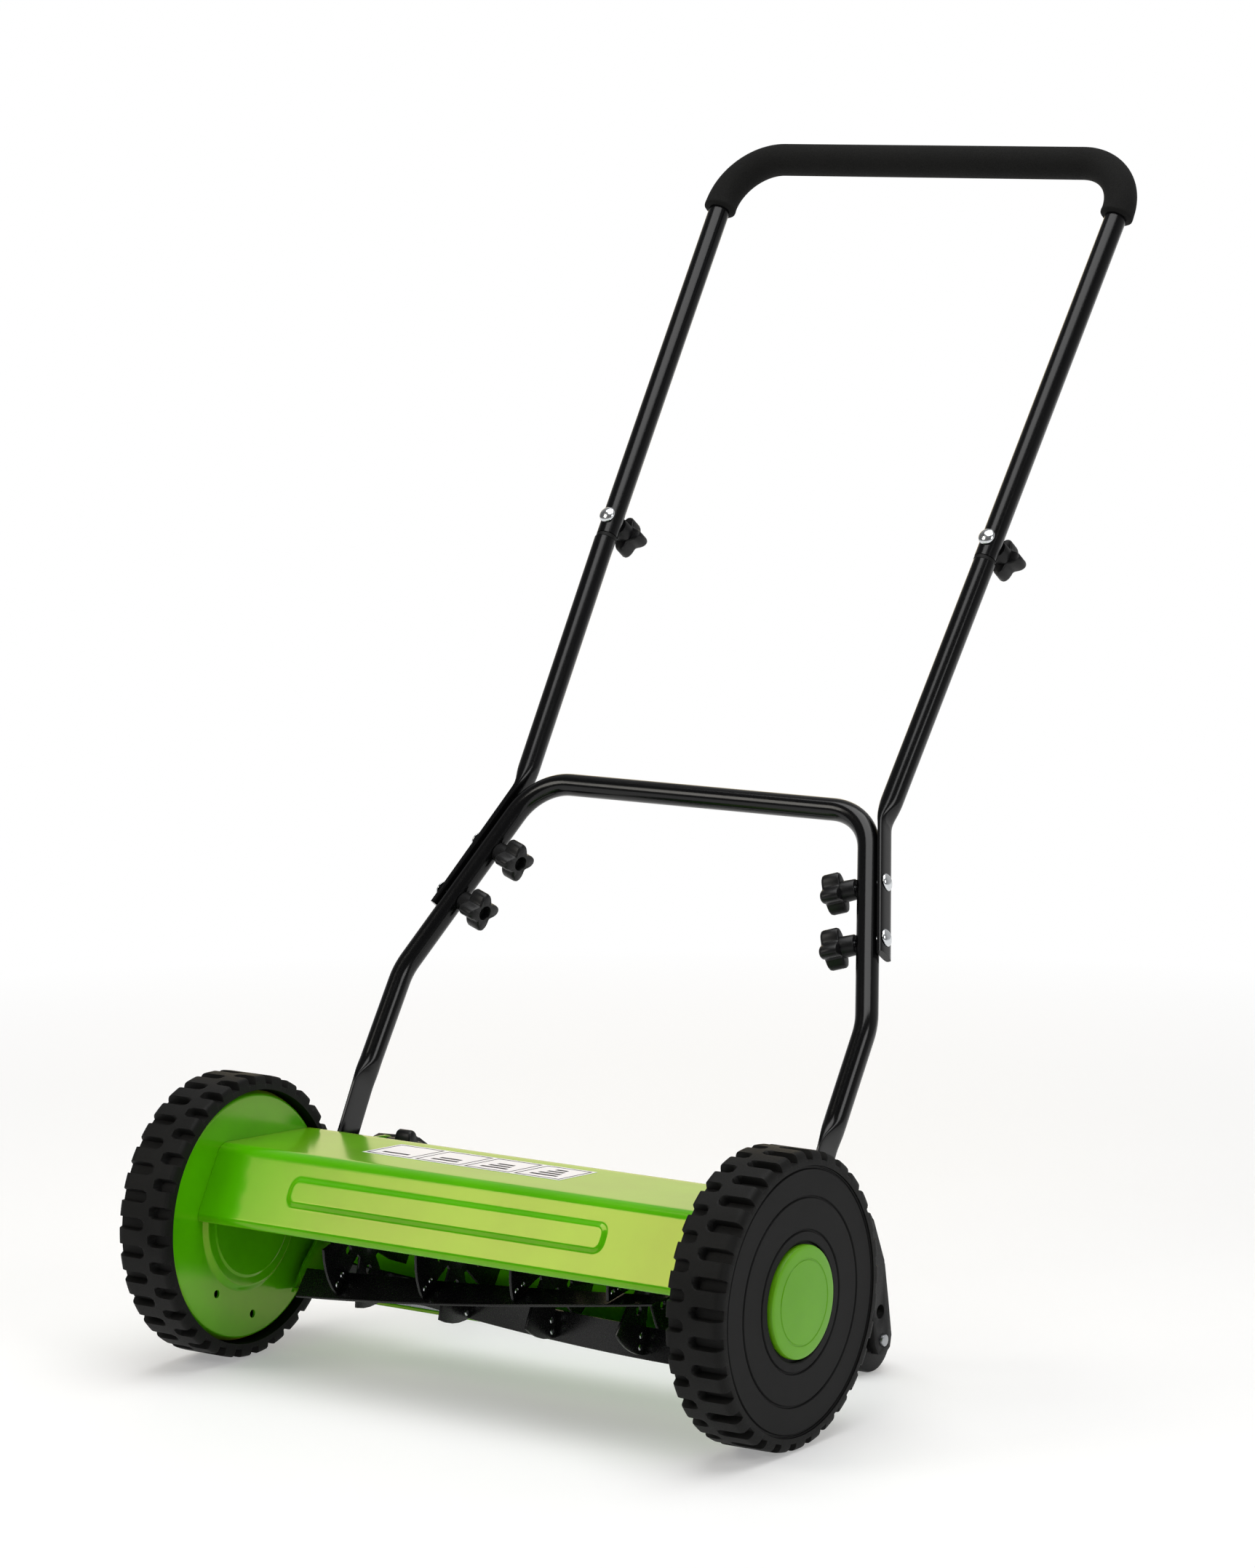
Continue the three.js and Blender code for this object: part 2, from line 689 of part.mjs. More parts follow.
// The inverted U between the chassis and the middle tubes, its feet pressed flat.
function lowerHandle() {
  const straps = [-1, 1].map((side) => {
    const face = side * LEG_X - STRAP_T / 2;
    const foot = [PIVOT.y, PIVOT.z, STRAP_W / 2];
    const ankle = [NOTCH.y - 6, NOTCH.z - 11, STRAP_W / 2];
    const shin = [NOTCH.y + 7, NOTCH.z + 14, TUBE_R];
    return linked([foot, ankle, shin], face, face + STRAP_T, 4);
  });
  const half = [
    new THREE.Vector3(LEG_X, NOTCH.y, NOTCH.z),
    onSlope(LEG_X, 0),
    onSlope(legX(CROSSBAR_S), CROSSBAR_S),
  ];
  const other = half.map(mirrorPoint).reverse();
  const path = rounded([...half, ...other], [60, CROSSBAR_R, CROSSBAR_R, 60]);
  const frame = hollowed(tube(path, TUBE_R), tube(extended(path), TUBE_BORE));
  const holes = [pin(BOLT_R + 0.4, -LEG_X - 5, LEG_X + 5, PIVOT, 12)];
  for (const s of KNOB_S) {
    const at = onSlope(legX(s), s);
    holes.push(boltHole(at, outOfLeg, 50));
    holes.push(boltHole(mirrorPoint(at), mirrorPoint(outOfLeg), 50));
  }
  return cut(join([frame, ...straps]), holes);
}

// Oval where it lies against a leg, round above the bend.
function middleTube() {
  const start = onSlope(middleX(MIDDLE_END_S), MIDDLE_END_S);
  const bend = onSlope(middleX(MIDDLE_BEND_S), MIDDLE_BEND_S);
  const end = onSlope(upperX(JOINT_S), JOINT_S - SLEEVE - FLANGE);
  const past = bend.clone().lerp(start, -0.05);
  const wall = TUBE_R - TUBE_BORE;
  const oval = (from, w) => ovalBar(from, past, FLAT_W / 2 - w, FLAT_T / 2 - w);
  const opened = start.clone().lerp(bend, -0.02);
  const outer = join([oval(start, 0), tube([bend, end], TUBE_R)]);
  const drilled = cut(outer, [oval(opened, wall), tube([bend, end.clone().lerp(bend, -0.01)],
    TUBE_BORE)]);
  return cut(drilled, KNOB_S.map((s) => boltHole(onSlope(legX(s), s), outOfLeg, 80)));
}

function upperPath(fromS) {
  const half = [onSlope(upperX(fromS), fromS), onSlope(TOP_X, TOP_BAR_S)];
  const corners = [...half, ...half.map(mirrorPoint).reverse()];
  return rounded(corners, [CORNER_R, CORNER_R], 5);
}

function upperHandle() {
  const path = upperPath(JOINT_S - SLEEVE);
  const frame = hollowed(tube(path, TUBE_R), tube(extended(path), TUBE_BORE));
  const at = onSlope(JOINT_X, JOINT_S);
  return cut(frame, [boltHole(at, planeNormal, 30), boltHole(mirrorPoint(at), planeNormal, 30)]);
}

function foamGrip() {
  const path = upperPath(GRIP_END_S);
  return hollowed(tube(path, GRIP_R), tube(extended(path), TUBE_R + 0.8));
}

// The plastic plug that joins the tube ends; only its collar shows between them.
function tubeJoiner() {
  const spigot = TUBE_BORE - 1.5;
  const profile = [
    [0, -26],
    [spigot, -26],
    [spigot, GAP],
    [TUBE_R - 0.3, GAP],
    [TUBE_R - 0.3, FLANGE - GAP],
    [spigot, FLANGE - GAP],
    [spigot, FLANGE + 40],
    [0, FLANGE + 40],
  ];
  const points = profile.map(([radius, y]) => new THREE.Vector2(radius, y));
  const plug = new THREE.LatheGeometry(points, 10);
  const foot = onSlope(upperX(JOINT_S - SLEEVE - FLANGE), JOINT_S - SLEEVE - FLANGE);
  const head = onSlope(JOINT_X, JOINT_S);
  aim(plug, foot, head.clone().sub(foot).normalize());
  return cut(plug, [boltHole(head, planeNormal, 30)]);
}

// A carriage bolt along +Y: domed head above y = 0, shank of the given length below it.
function bolt(length, at, direction) {
  const points = [
    [0, -length],
    [BOLT_R, -length],
    [BOLT_R, 0],
    [7.5, 0],
    [5.5, 2.8],
    [0, 4],
  ].map(([radius, y]) => new THREE.Vector2(radius, y));
  return aim(new THREE.LatheGeometry(points, 8), at, direction);
}

// A four-lobed knob: a hub against the tube, a lobed head, and a socket in its outer end.
const HUB_LEN = 12;
const HEAD_LEN = 16;

function knob(at, direction) {
  const lobes = 4;
  const steps = 16;
  const outline = Array.from({ length: steps }, (_, i) => {
    const angle = (2 * Math.PI * i) / steps;
    const radius = KNOB_R - 2.6 + 2.6 * Math.cos(lobes * angle);
    return new THREE.Vector2(radius * Math.cos(angle), radius * Math.sin(angle));
  });
  const head = new THREE.ExtrudeGeometry(new THREE.Shape(outline), {
    depth: HEAD_LEN,
    bevelEnabled: false,
  });
  head.rotateX(-Math.PI / 2).translate(0, HUB_LEN, 0);
  const hub = new THREE.CylinderGeometry(8.5, 8.5, HUB_LEN + 1, 10);
  hub.translate(0, (HUB_LEN + 1) / 2, 0);
  const bore = new THREE.CylinderGeometry(BOLT_R + 0.5, BOLT_R + 0.5, 60, 8);
  const socket = new THREE.CylinderGeometry(6, 6, 16, 8);
  socket.translate(0, HUB_LEN + HEAD_LEN, 0);
  return aim(cut(join([head, hub]), [bore, socket]), at, direction);
}

// One fastening: bolt head on one side of the stack, knob on the other.
function fastenPair(name, at, direction, toHead, toKnob) {
  const grip = toHead + toKnob + HUB_LEN + 6;
  const back = direction.clone().negate();
  addPair(`${name}_bolt`, bolt(grip, at.clone().addScaledVector(direction, toHead), direction),
    'zinc');
  addPair(`${name}_knob`, knob(at.clone().addScaledVector(back, toKnob), back), 'blackPlastic');
}

add('lower_handle', lowerHandle(), 'blackPaint');
addPair('middle_tube', middleTube(), 'blackPaint');
addPair('tube_joiner', tubeJoiner(), 'blackPlastic');
add('upper_handle', upperHandle(), 'blackPaint');
add('foam_grip', foamGrip(), 'foam');
KNOB_S.forEach((s, i) => {
  fastenPair(['lower_clamp', 'upper_clamp'][i], onSlope(legX(s), s), outOfLeg,
    MIDDLE_OFFSET + FLAT_T / 2 + GAP, TUBE_R + GAP);
});
fastenPair('joint', onSlope(JOINT_X, JOINT_S), planeNormal, TUBE_R + GAP, TUBE_R + GAP);
fastenPair('handle_pivot', new THREE.Vector3(LEG_X, PIVOT.y, PIVOT.z), outward,
  BRACKET_OUT - LEG_X + GAP, STRAP_T / 2 + GAP);
fastenPair('roller_clamp', new THREE.Vector3(ARM_X, CLAMP.y, CLAMP.z), outward,
  ARM_T / 2 + GAP, ARM_T / 2 + 3 + GAP);

// The origin goes on the ground under the middle of the mower's box.
const box = new THREE.Box3().setFromObject(mower);
mower.position.y = -(box.min.y + box.max.y) / 2;
mower.position.z = -box.min.z;

export default mower;
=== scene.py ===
import json
import math

import bmesh
import bpy
import numpy as np
from mathutils import Matrix, Vector


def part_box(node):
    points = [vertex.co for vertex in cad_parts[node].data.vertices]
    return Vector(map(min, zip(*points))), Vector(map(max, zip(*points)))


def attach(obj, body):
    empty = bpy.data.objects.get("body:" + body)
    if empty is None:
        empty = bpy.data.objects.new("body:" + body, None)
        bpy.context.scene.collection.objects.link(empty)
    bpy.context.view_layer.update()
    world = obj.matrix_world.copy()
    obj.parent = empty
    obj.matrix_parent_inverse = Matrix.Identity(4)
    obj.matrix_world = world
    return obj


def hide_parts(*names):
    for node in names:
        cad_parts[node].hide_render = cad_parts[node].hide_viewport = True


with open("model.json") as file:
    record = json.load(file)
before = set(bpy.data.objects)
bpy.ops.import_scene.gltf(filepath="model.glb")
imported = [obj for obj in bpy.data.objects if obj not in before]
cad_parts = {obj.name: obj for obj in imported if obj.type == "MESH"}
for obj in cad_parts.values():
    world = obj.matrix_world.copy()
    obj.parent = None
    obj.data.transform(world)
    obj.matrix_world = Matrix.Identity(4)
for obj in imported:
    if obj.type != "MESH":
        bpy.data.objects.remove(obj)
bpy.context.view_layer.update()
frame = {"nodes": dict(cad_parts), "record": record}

# Sizes in millimetres, places in the row frame.
MM = 0.001
WHEEL_R = 117.5
TREAD_IN = 243
TREAD_OUT = 293
SLOTS = 32
SLOT_W = 9.5
SLOT_DEPTH = 7.0
OUTER_SLOT = 27.0
INNER_SLOT = 17.0
RIM_R = 105.4
WHEEL_FACE = 292.0
RING_TEETH = 40
BLADES = 5
BLADE_ROOT = 38.5
BLADE_R = 64.5
BLADE_START = 207  # degrees, the first blade at the reel's middle
BLADE_TWIST = -0.133  # degrees for each millimetre along the shaft
SPIDERS = 4
TUBE_R = 9.5
CORNER_R = 50
SLOPE = math.radians(54.8)
LEG_X = 231.5
LEG_LEAN = -0.345
CROSSBAR_S = 189.0
MIDDLE_END_S = 63.4
MIDDLE_BEND_S = 184.0
JOINT_S = 449.9
TOP_BAR_S = 831.9
GRIP_END_S = 776.4
JOINT_X = 192.3
TOP_X = 205.4
FLAT_T = 6.0
FLAT_W = 20.5
GRIP_R = 14.6
MIDDLE_OFFSET = TUBE_R + FLAT_T / 2 + 0.6
SLEEVE = 16.0
FLANGE = 4.0

JOINTS = {j["name"]: j for j in frame["record"]["behaviour"]["joints"]}
BODY_OF_NODE = {
    node: body for body, nodes in frame["record"]["behaviour"]["bodies"].items() for node in nodes
}
X = Vector((1, 0, 0))


def place(joint):
    return Vector(JOINTS[joint]["pos_m"]) / MM


def axis(joint):
    return Vector(JOINTS[joint]["axis"]).normalized()


AXLE = place("wheel_right_spin")
AXLE.x = 0
REEL = place("reel_spin")
PIVOT = place("handle_tilt")
CLAMP = place("roller_height")
ROLLER = place("roller_spin")
NOTCH = PIVOT + Vector((0, 41.5, 78))
BEND = PIVOT + Vector((0, 97.5, 163.1))
PLANE_NORMAL = Vector((0, -math.sin(SLOPE), math.cos(SLOPE)))


def on_slope(x, s):
    return Vector((x, BEND.y + s * math.cos(SLOPE), BEND.z + s * math.sin(SLOPE)))


def leg_x(s):
    return LEG_X + LEG_LEAN * s


def middle_x(s):
    return leg_x(s) + MIDDLE_OFFSET * math.hypot(1, LEG_LEAN)


def upper_x(s):
    return JOINT_X + (TOP_X - JOINT_X) * (s - JOINT_S) / (TOP_BAR_S - JOINT_S)


def mirror(p):
    return Vector((-p.x, p.y, p.z))


# ---------------------------------------------------------------- materials
def linear(code):
    parts = [int(code[i:i + 2], 16) / 255 for i in (1, 3, 5)]
    return [c / 12.92 if c <= 0.04045 else ((c + 0.055) / 1.055) ** 2.4 for c in parts] + [1.0]


def node(tree, kind, inputs=None, **settings):
    made = tree.nodes.new(kind)
    for key, value in settings.items():
        setattr(made, key, value)
    for key, value in (inputs or {}).items():
        if isinstance(value, bpy.types.NodeSocket):
            tree.links.new(value, made.inputs[key])
        else:
            made.inputs[key].default_value = value
    return made


def finish(name, light, dark, rough, spread, grain_mm, bump_mm, patch_mm=60.0, **shader):
    """A surface with two close colours in soft patches, a roughness that varies, and a grain."""
    look = bpy.data.materials.new(name)
    look.use_nodes = True
    tree = look.node_tree
    tree.nodes.clear()
    at = node(tree, "ShaderNodeTexCoord").outputs["Object"]
    patches = node(tree, "ShaderNodeTexNoise",
                   {"Vector": at, "Scale": 1 / (patch_mm * MM), "Detail": 3.0})
    grain = node(tree, "ShaderNodeTexNoise",
                 {"Vector": at, "Scale": 1 / (grain_mm * MM), "Detail": 2.0})
    colour = node(tree, "ShaderNodeValToRGB", {"Fac": patches.outputs["Fac"]})
    colour.color_ramp.elements[0].position = 0.3
    colour.color_ramp.elements[0].color = linear(dark)
    colour.color_ramp.elements[1].position = 0.7
    colour.color_ramp.elements[1].color = linear(light)
    roughness = node(tree, "ShaderNodeMapRange", {
        "Value": grain.outputs["Fac"], "From Min": 0.3, "From Max": 0.7,
        "To Min": rough - spread, "To Max": rough + spread,
    })
    bump = node(tree, "ShaderNodeBump", {
        "Height": grain.outputs["Fac"], "Strength": 1.0, "Distance": bump_mm * MM,
    })
    surface = node(tree, "ShaderNodeBsdfPrincipled", {
        "Base Color": colour.outputs["Color"], "Roughness": roughness.outputs["Result"],
        "Normal": bump.outputs["Normal"],
    })
    for key, value in shader.items():
        surface.inputs[key.replace("_", " ")].default_value = value
    node(tree, "ShaderNodeOutputMaterial", {"Surface": surface.outputs["BSDF"]})
    return look


# Gloss powder coat over pressed sheet steel: faint orange peel, and an amber tint in the gloss
# and the sheen, which turns the highlights lime.
GREEN_PAINT = finish("green_paint", "#50b400", "#47a800", 0.16, 0.03, 1.6, 0.003,
                     Specular_Tint=(1.0, 0.6, 0.24, 1.0), Specular_IOR_Level=1.0,
                     Sheen_Weight=0.3, Sheen_Roughness=0.35, Sheen_Tint=(1.0, 0.6, 0.1, 1.0))
# Gloss black powder coat over tube: near black with thin, clear highlights.
TUBE_PAINT = finish("tube_paint", "#080809", "#050506", 0.17, 0.03, 1.4, 0.003,
                    Specular_IOR_Level=0.32)
# Satin black paint over the reel's steel and the rear tie rod: softer highlights than the tubes.
REEL_PAINT = finish("reel_paint", "#0e0e0f", "#09090a", 0.28, 0.05, 1.1, 0.006,
                    Specular_IOR_Level=0.3)
# Moulded tyre with a matte, slightly dusty skin.
TYRE = finish("tyre", "#131312", "#0d0d0c", 0.6, 0.08, 0.7, 0.03, 25.0, Specular_IOR_Level=0.16)
# Satin moulded wheel disc with fine spark-eroded grain.
WHEEL_PLASTIC = finish("wheel_plastic", "#141414", "#101010", 0.55, 0.06, 0.5, 0.015,
                       Specular_IOR_Level=0.12)
# Satin moulded knobs, a little glossier than the wheel discs.
KNOB_PLASTIC = finish("knob_plastic", "#0f0f10", "#0b0b0c", 0.38, 0.06, 0.5, 0.012,
                      Specular_IOR_Level=0.26)
# Moulded roller, arms and joiners: matte with a fine grain.
BLACK_PLASTIC = finish("black_plastic", "#111111", "#0d0d0d", 0.5, 0.08, 0.6, 0.02,
                       Specular_IOR_Level=0.18)
# Smooth moulded hub caps, a yellower green than the paint.
GREEN_PLASTIC = finish("green_plastic", "#64a806", "#5c9e04", 0.4, 0.04, 0.6, 0.008,
                       Specular_IOR_Level=0.35)
# Plain nylon bearings: off-white with a soft shine.
NYLON = finish("nylon", "#dedacf", "#d2cdc0", 0.5, 0.05, 0.8, 0.01)
# Bright zinc plate on the bolts.
ZINC = finish("zinc", "#e2e4e6", "#ccd0d3", 0.2, 0.06, 0.8, 0.01, Metallic=1.0)
# Turned steel on the axles, the front tie rod and the pinions: grey, with blurred reflections.
MACHINED_STEEL = finish("machined_steel", "#b4b6b8", "#9c9ea1", 0.32, 0.08, 0.5, 0.01,
                        Metallic=1.0)
# Ground steel on the bed knife, a little brighter than the turned steel.
KNIFE_STEEL = finish("knife_steel", "#b8babd", "#a2a4a8", 0.28, 0.08, 0.4, 0.01, Metallic=1.0)
# Closed-cell foam: fine dimples and no gloss.
FOAM = finish("foam", "#0c0c0b", "#080807", 0.92, 0.05, 1.1, 0.25, 30.0,
              Specular_IOR_Level=0.25)
# Printed vinyl sticker: a dull white ground, and dark marks with almost no gloss.
VINYL = finish("label_vinyl", "#efeef0", "#e6e4e8", 0.4, 0.04, 1.0, 0.004,
               Specular_IOR_Level=0.2)
INK = finish("label_ink", "#2a2a2c", "#222224", 0.6, 0.04, 1.0, 0.002, Specular_IOR_Level=0.1)
LOOKS = {
    "green_paint": GREEN_PAINT, "reel_paint": REEL_PAINT, "tube_paint": TUBE_PAINT,
    "machined_steel": MACHINED_STEEL, "knife_steel": KNIFE_STEEL, "zinc": ZINC, "tyre": TYRE,
    "wheel_plastic": WHEEL_PLASTIC, "green_plastic": GREEN_PLASTIC,
    "black_plastic": BLACK_PLASTIC, "knob_plastic": KNOB_PLASTIC, "nylon": NYLON, "foam": FOAM,
}
SLOT_OF_NODE = {s["node"]: s["material_slot"] for s in frame["record"]["subparts"]}


# ---------------------------------------------------------------- making pieces
def shade(mesh, angle):
    """Smooth faces, with a hard edge where two faces meet more sharply than angle degrees."""
    work = bmesh.new()
    work.from_mesh(mesh)
    bmesh.ops.recalc_face_normals(work, faces=work.faces)
    for face in work.faces:
        face.smooth = True
    limit = math.radians(angle)
    for edge in work.edges:
        edge.smooth = not edge.is_manifold or edge.calc_face_angle(0) < limit
    work.to_mesh(mesh)
    work.free()


def bevelled(work, width, angle=30, segments=2):
    limit = math.radians(angle)
    edges = [e for e in work.edges if e.is_manifold and e.calc_face_angle(0) > limit]
    bmesh.ops.bevel(work, geom=edges, offset=width * MM, segments=segments, profile=0.5,
                    affect="EDGES", clamp_overlap=True)


def piece(name, verts, faces, stands_for, slot=None, body=None, angle=32, bevel=0):
    """A mesh in millimetres that rides on the body of the CAD node it stands for."""
    mesh = bpy.data.meshes.new(name)
    mesh.from_pydata([tuple(Vector(v) * MM) for v in verts], [], faces)
    if bevel:
        work = bmesh.new()
        work.from_mesh(mesh)
        bmesh.ops.recalc_face_normals(work, faces=work.faces)
        bevelled(work, bevel)
        work.to_mesh(mesh)
        work.free()
    shade(mesh, angle)
    made = bpy.data.objects.new(name, mesh)
    bpy.context.scene.collection.objects.link(made)
    nodes = [stands_for] if isinstance(stands_for, str) else list(stands_for)
    slot = slot or SLOT_OF_NODE[nodes[0]]
    mesh.materials.append(LOOKS[slot])
    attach(made, body or BODY_OF_NODE[nodes[0]])
    if nodes:
        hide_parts(*nodes)
    return made


def refined(node_name, bevel=0.5, angle=32):
    """The CAD node again, its flat facets joined up, its edges rounded and its curves smooth."""
    mesh = frame["nodes"][node_name].data.copy()
    mesh.name = f"{node_name}_look"
    mesh.materials.clear()
    work = bmesh.new()
    work.from_mesh(mesh)
    bmesh.ops.remove_doubles(work, verts=work.verts, dist=1e-5)
    bmesh.ops.dissolve_limit(work, angle_limit=math.radians(1), verts=work.verts,
                             edges=work.edges)
    bevelled(work, bevel)
    work.to_mesh(mesh)
    work.free()
    mesh.materials.append(LOOKS[SLOT_OF_NODE[node_name]])
    for face in mesh.polygons:
        face.material_index = 0
    shade(mesh, angle)
    made = bpy.data.objects.new(f"{node_name}_look", mesh)
    bpy.context.scene.collection.objects.link(made)
    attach(made, BODY_OF_NODE[node_name])
    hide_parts(node_name)
    return made


def loft(rings, caps=True, closed=False):
    """Joins rings of equal length into a skin."""
    count = len(rings[0])
    verts = [p for ring in rings for p in ring]
    faces = []
    last = len(rings) if closed else len(rings) - 1
    for i in range(last):
        a, b = i * count, ((i + 1) % len(rings)) * count
        for j in range(count):
            k = (j + 1) % count
            faces.append((a + j, a + k, b + k, b + j))
    if caps and not closed:
        faces.append(tuple(range(count)))
        faces.append(tuple(reversed(range((len(rings) - 1) * count, len(rings) * count))))
    return verts, faces


def lathe(profile, origin, direction, steps):
    """Turns a closed outline of (distance along, radius) pairs about an axis."""
    turn = direction.to_track_quat("Z", "Y")
    rings = []
    for i in range(steps):
        a = 2 * math.pi * i / steps
        rings.append([
            origin + turn @ Vector((r * math.cos(a), r * math.sin(a), along))
            for along, r in profile
        ])
    count = len(profile)
    verts = [p for ring in rings for p in ring]
    faces = []
    for i in range(steps):
        a, b = i * count, ((i + 1) % steps) * count
        for j in range(count):
            k = (j + 1) % count
            faces.append((a + j, a + k, b + k, b + j))
    return verts, faces


def held(path, gap=0.5):
    """Adds a point near both ends of every long run, so that its surface shades flat."""
    out = []
    for a, b in zip(path, path[1:]):
        out.append(a)
        if (b - a).length > 4 * gap:
            run = (b - a).normalized() * gap
            out += [a + run, b - run]
    return out + [path[-1]]


def drilled(made, holes, angle):
    """Cuts round holes along X; each hole is (x0, x1, y, z, radius)."""
    cutters = []
    for x0, x1, y, z, r in holes:
        turns = [2 * math.pi * i / 28 for i in range(28)]
        cutters.append(loft([[Vector((x, y + r * math.cos(a), z + r * math.sin(a)))
                              for a in turns] for x in (x0, x1)]))
    verts, faces = merged(*cutters)
    mesh = bpy.data.meshes.new("drill")
    mesh.from_pydata([tuple(v * MM) for v in verts], [], faces)
    shade(mesh, 30)
    drill = bpy.data.objects.new("drill", mesh)
    bpy.context.scene.collection.objects.link(drill)
    bore = made.modifiers.new("bore", "BOOLEAN")
    bore.operation = "DIFFERENCE"
    bore.solver = "EXACT"
    bore.object = drill
    ready = made.evaluated_get(bpy.context.evaluated_depsgraph_get())
    mesh = bpy.data.meshes.new_from_object(ready)
    made.modifiers.remove(bore)
    made.data = mesh
    bpy.data.objects.remove(drill)
    shade(mesh, angle)


def merged(*parts):
    verts, faces = [], []
    for part_verts, part_faces in parts:
        base = len(verts)
        verts.extend(part_verts)
        faces.extend(tuple(i + base for i in f) for f in part_faces)
    return verts, faces


def slab(outline, x0, x1):
    """A flat plate in the plane square to X, from (y, z) points."""
    return loft([[Vector((x, y, z)) for y, z in outline] for x in (x0, x1)])


def rounded(corners, radii, step=4.0):
    """A path through the corners with circular bends, one radius for each inner corner."""
    path = [corners[0]]
    for i in range(1, len(corners) - 1):
        here = corners[i]
        back = (corners[i - 1] - here).normalized()
        ahead = (corners[i + 1] - here).normalized()
        bend = math.pi - back.angle(ahead)
        reach = radii[i - 1] * math.tan(bend / 2)
        centre = here + (back + ahead).normalized() * (radii[i - 1] / math.cos(bend / 2))
        start = here + back * reach - centre
        pivot = start.cross(here + ahead * reach - centre).normalized()
        steps = max(4, int(radii[i - 1] * bend / step))
        for k in range(steps + 1):
            path.append(centre + Matrix.Rotation(bend * k / steps, 3, pivot) @ start)
    path.append(corners[-1])
    return path


def resampled(path, step):
    out = [path[0]]
    for a, b in zip(path, path[1:]):
        pieces = max(1, round((b - a).length / step))
        out.extend(a.lerp(b, k / pieces) for k in range(1, pieces + 1))
    return out


def lengths(path):
    total = [0.0]
    for a, b in zip(path, path[1:]):
        total.append(total[-1] + (b - a).length)
    return total


def sweep(path, section, side, caps=True):
    """Carries section(length, whole) -> [(across, out)] along the path without twist."""
    along = lengths(path)
    rings = []
    for i, p in enumerate(path):
        before = path[max(i - 1, 0)]
        after = path[min(i + 1, len(path) - 1)]
        if i and i + 1 < len(path):
            tangent = ((p - before).normalized() + (after - p).normalized()).normalized()
        else:
            tangent = (after - before).normalized()
        side = (side - tangent * side.dot(tangent)).normalized()
        out = tangent.cross(side)
        rings.append([p + side * a + out * b for a, b in section(along[i], along[-1])])
    return loft(rings, caps)


def ellipse(a, b, steps=28, power=2.0):
    points = []
    for i in range(steps):
        t = 2 * math.pi * i / steps
        c, s = math.cos(t), math.sin(t)
        points.append((a * math.copysign(abs(c) ** (2 / power), c),
                       b * math.copysign(abs(s) ** (2 / power), s)))
    return points


def smooth(t):
    t = min(max(t, 0.0), 1.0)
    return t * t * (3 - 2 * t)


def mix(a, b, t):
    return a + (b - a) * t


# ---------------------------------------------------------------- wheels
def tread_rows():
    """(distance from the middle, radius) over the tread, inner bore to outer bore."""
    inner = [(TREAD_IN, 106), (TREAD_IN, 111), (243.2, 113.5), (243.8, 115.6), (244.8, 116.9),
             (246.2, 117.4)]
    crown = [(x, WHEEL_R) for x in np.linspace(248, 285.5, 34)]
    outer = [(287.6, 117.4), (289.4, 116.9), (290.9, 115.8), (292, 114.1), (292.7, 112),
             (TREAD_OUT, 109.5), (TREAD_OUT, 106)]
    return inner + crown + outer


def slot_depth(arc, x, outer):
    """Depth of the nearest tread slot at an arc distance from its middle line."""
    half = SLOT_W / 2
    if outer:
        past = max(0.0, TREAD_OUT - OUTER_SLOT + half - x)
    else:
        past = max(0.0, x - (TREAD_IN + INNER_SLOT - half))
    edge = math.hypot(arc, past) - half
    return SLOT_DEPTH * (1 - smooth((edge + 0.55) / 1.1))


def tyre(side, sign):
    rows = tread_rows()
    pitch = 2 * math.pi / SLOTS
    edge = SLOT_W / 2 / WHEEL_R
    offsets = [0, 0.4 * edge, 0.75 * edge, edge - 0.0048, edge - 0.0016, edge + 0.0016,
               edge + 0.0048]
    cell = sorted({-o for o in offsets} | set(offsets))
    rings = []
    for i in range(2 * SLOTS):
        for offset in cell:
            angle = i * pitch / 2 + offset
            arc = offset * WHEEL_R
            ring = []
            for x, r in rows:
                depth = slot_depth(arc, x, i % 2 == 1)
                reach = min(r, WHEEL_R - depth)
                ring.append(Vector((sign * x, AXLE.y + reach * math.cos(angle),
                                    AXLE.z + reach * math.sin(angle))))
            rings.append(ring)
    piece(f"tyre_{side}_tread", *loft(rings, closed=True), f"tyre_{side}", angle=50)


def disc_profile():
    """Wheel disc with three shallow grooves round its outer face."""
    face = WHEEL_FACE
    points = [(274, 6.4), (274, 13), (286.5, 13), (286.5, 100), (284, 102), (258.6, 102),
              (258, 102.6), (258, RIM_R - 0.6), (258.6, RIM_R), (291, RIM_R), (291.8, 105)]
    for r in (104.2, 81.7, 55.7):
        points += [(face, r + 1.3), (face - 0.5, r + 0.75), (face - 1.3, r + 0.45),
                   (face - 1.3, r - 0.45), (face - 0.5, r - 0.75), (face, r - 1.3)]
        if r < 60:
            points += [(face, 48.2), (face - 0.6, 47.2), (288.5, 47)]
    return points + [(288.5, 6.4)]


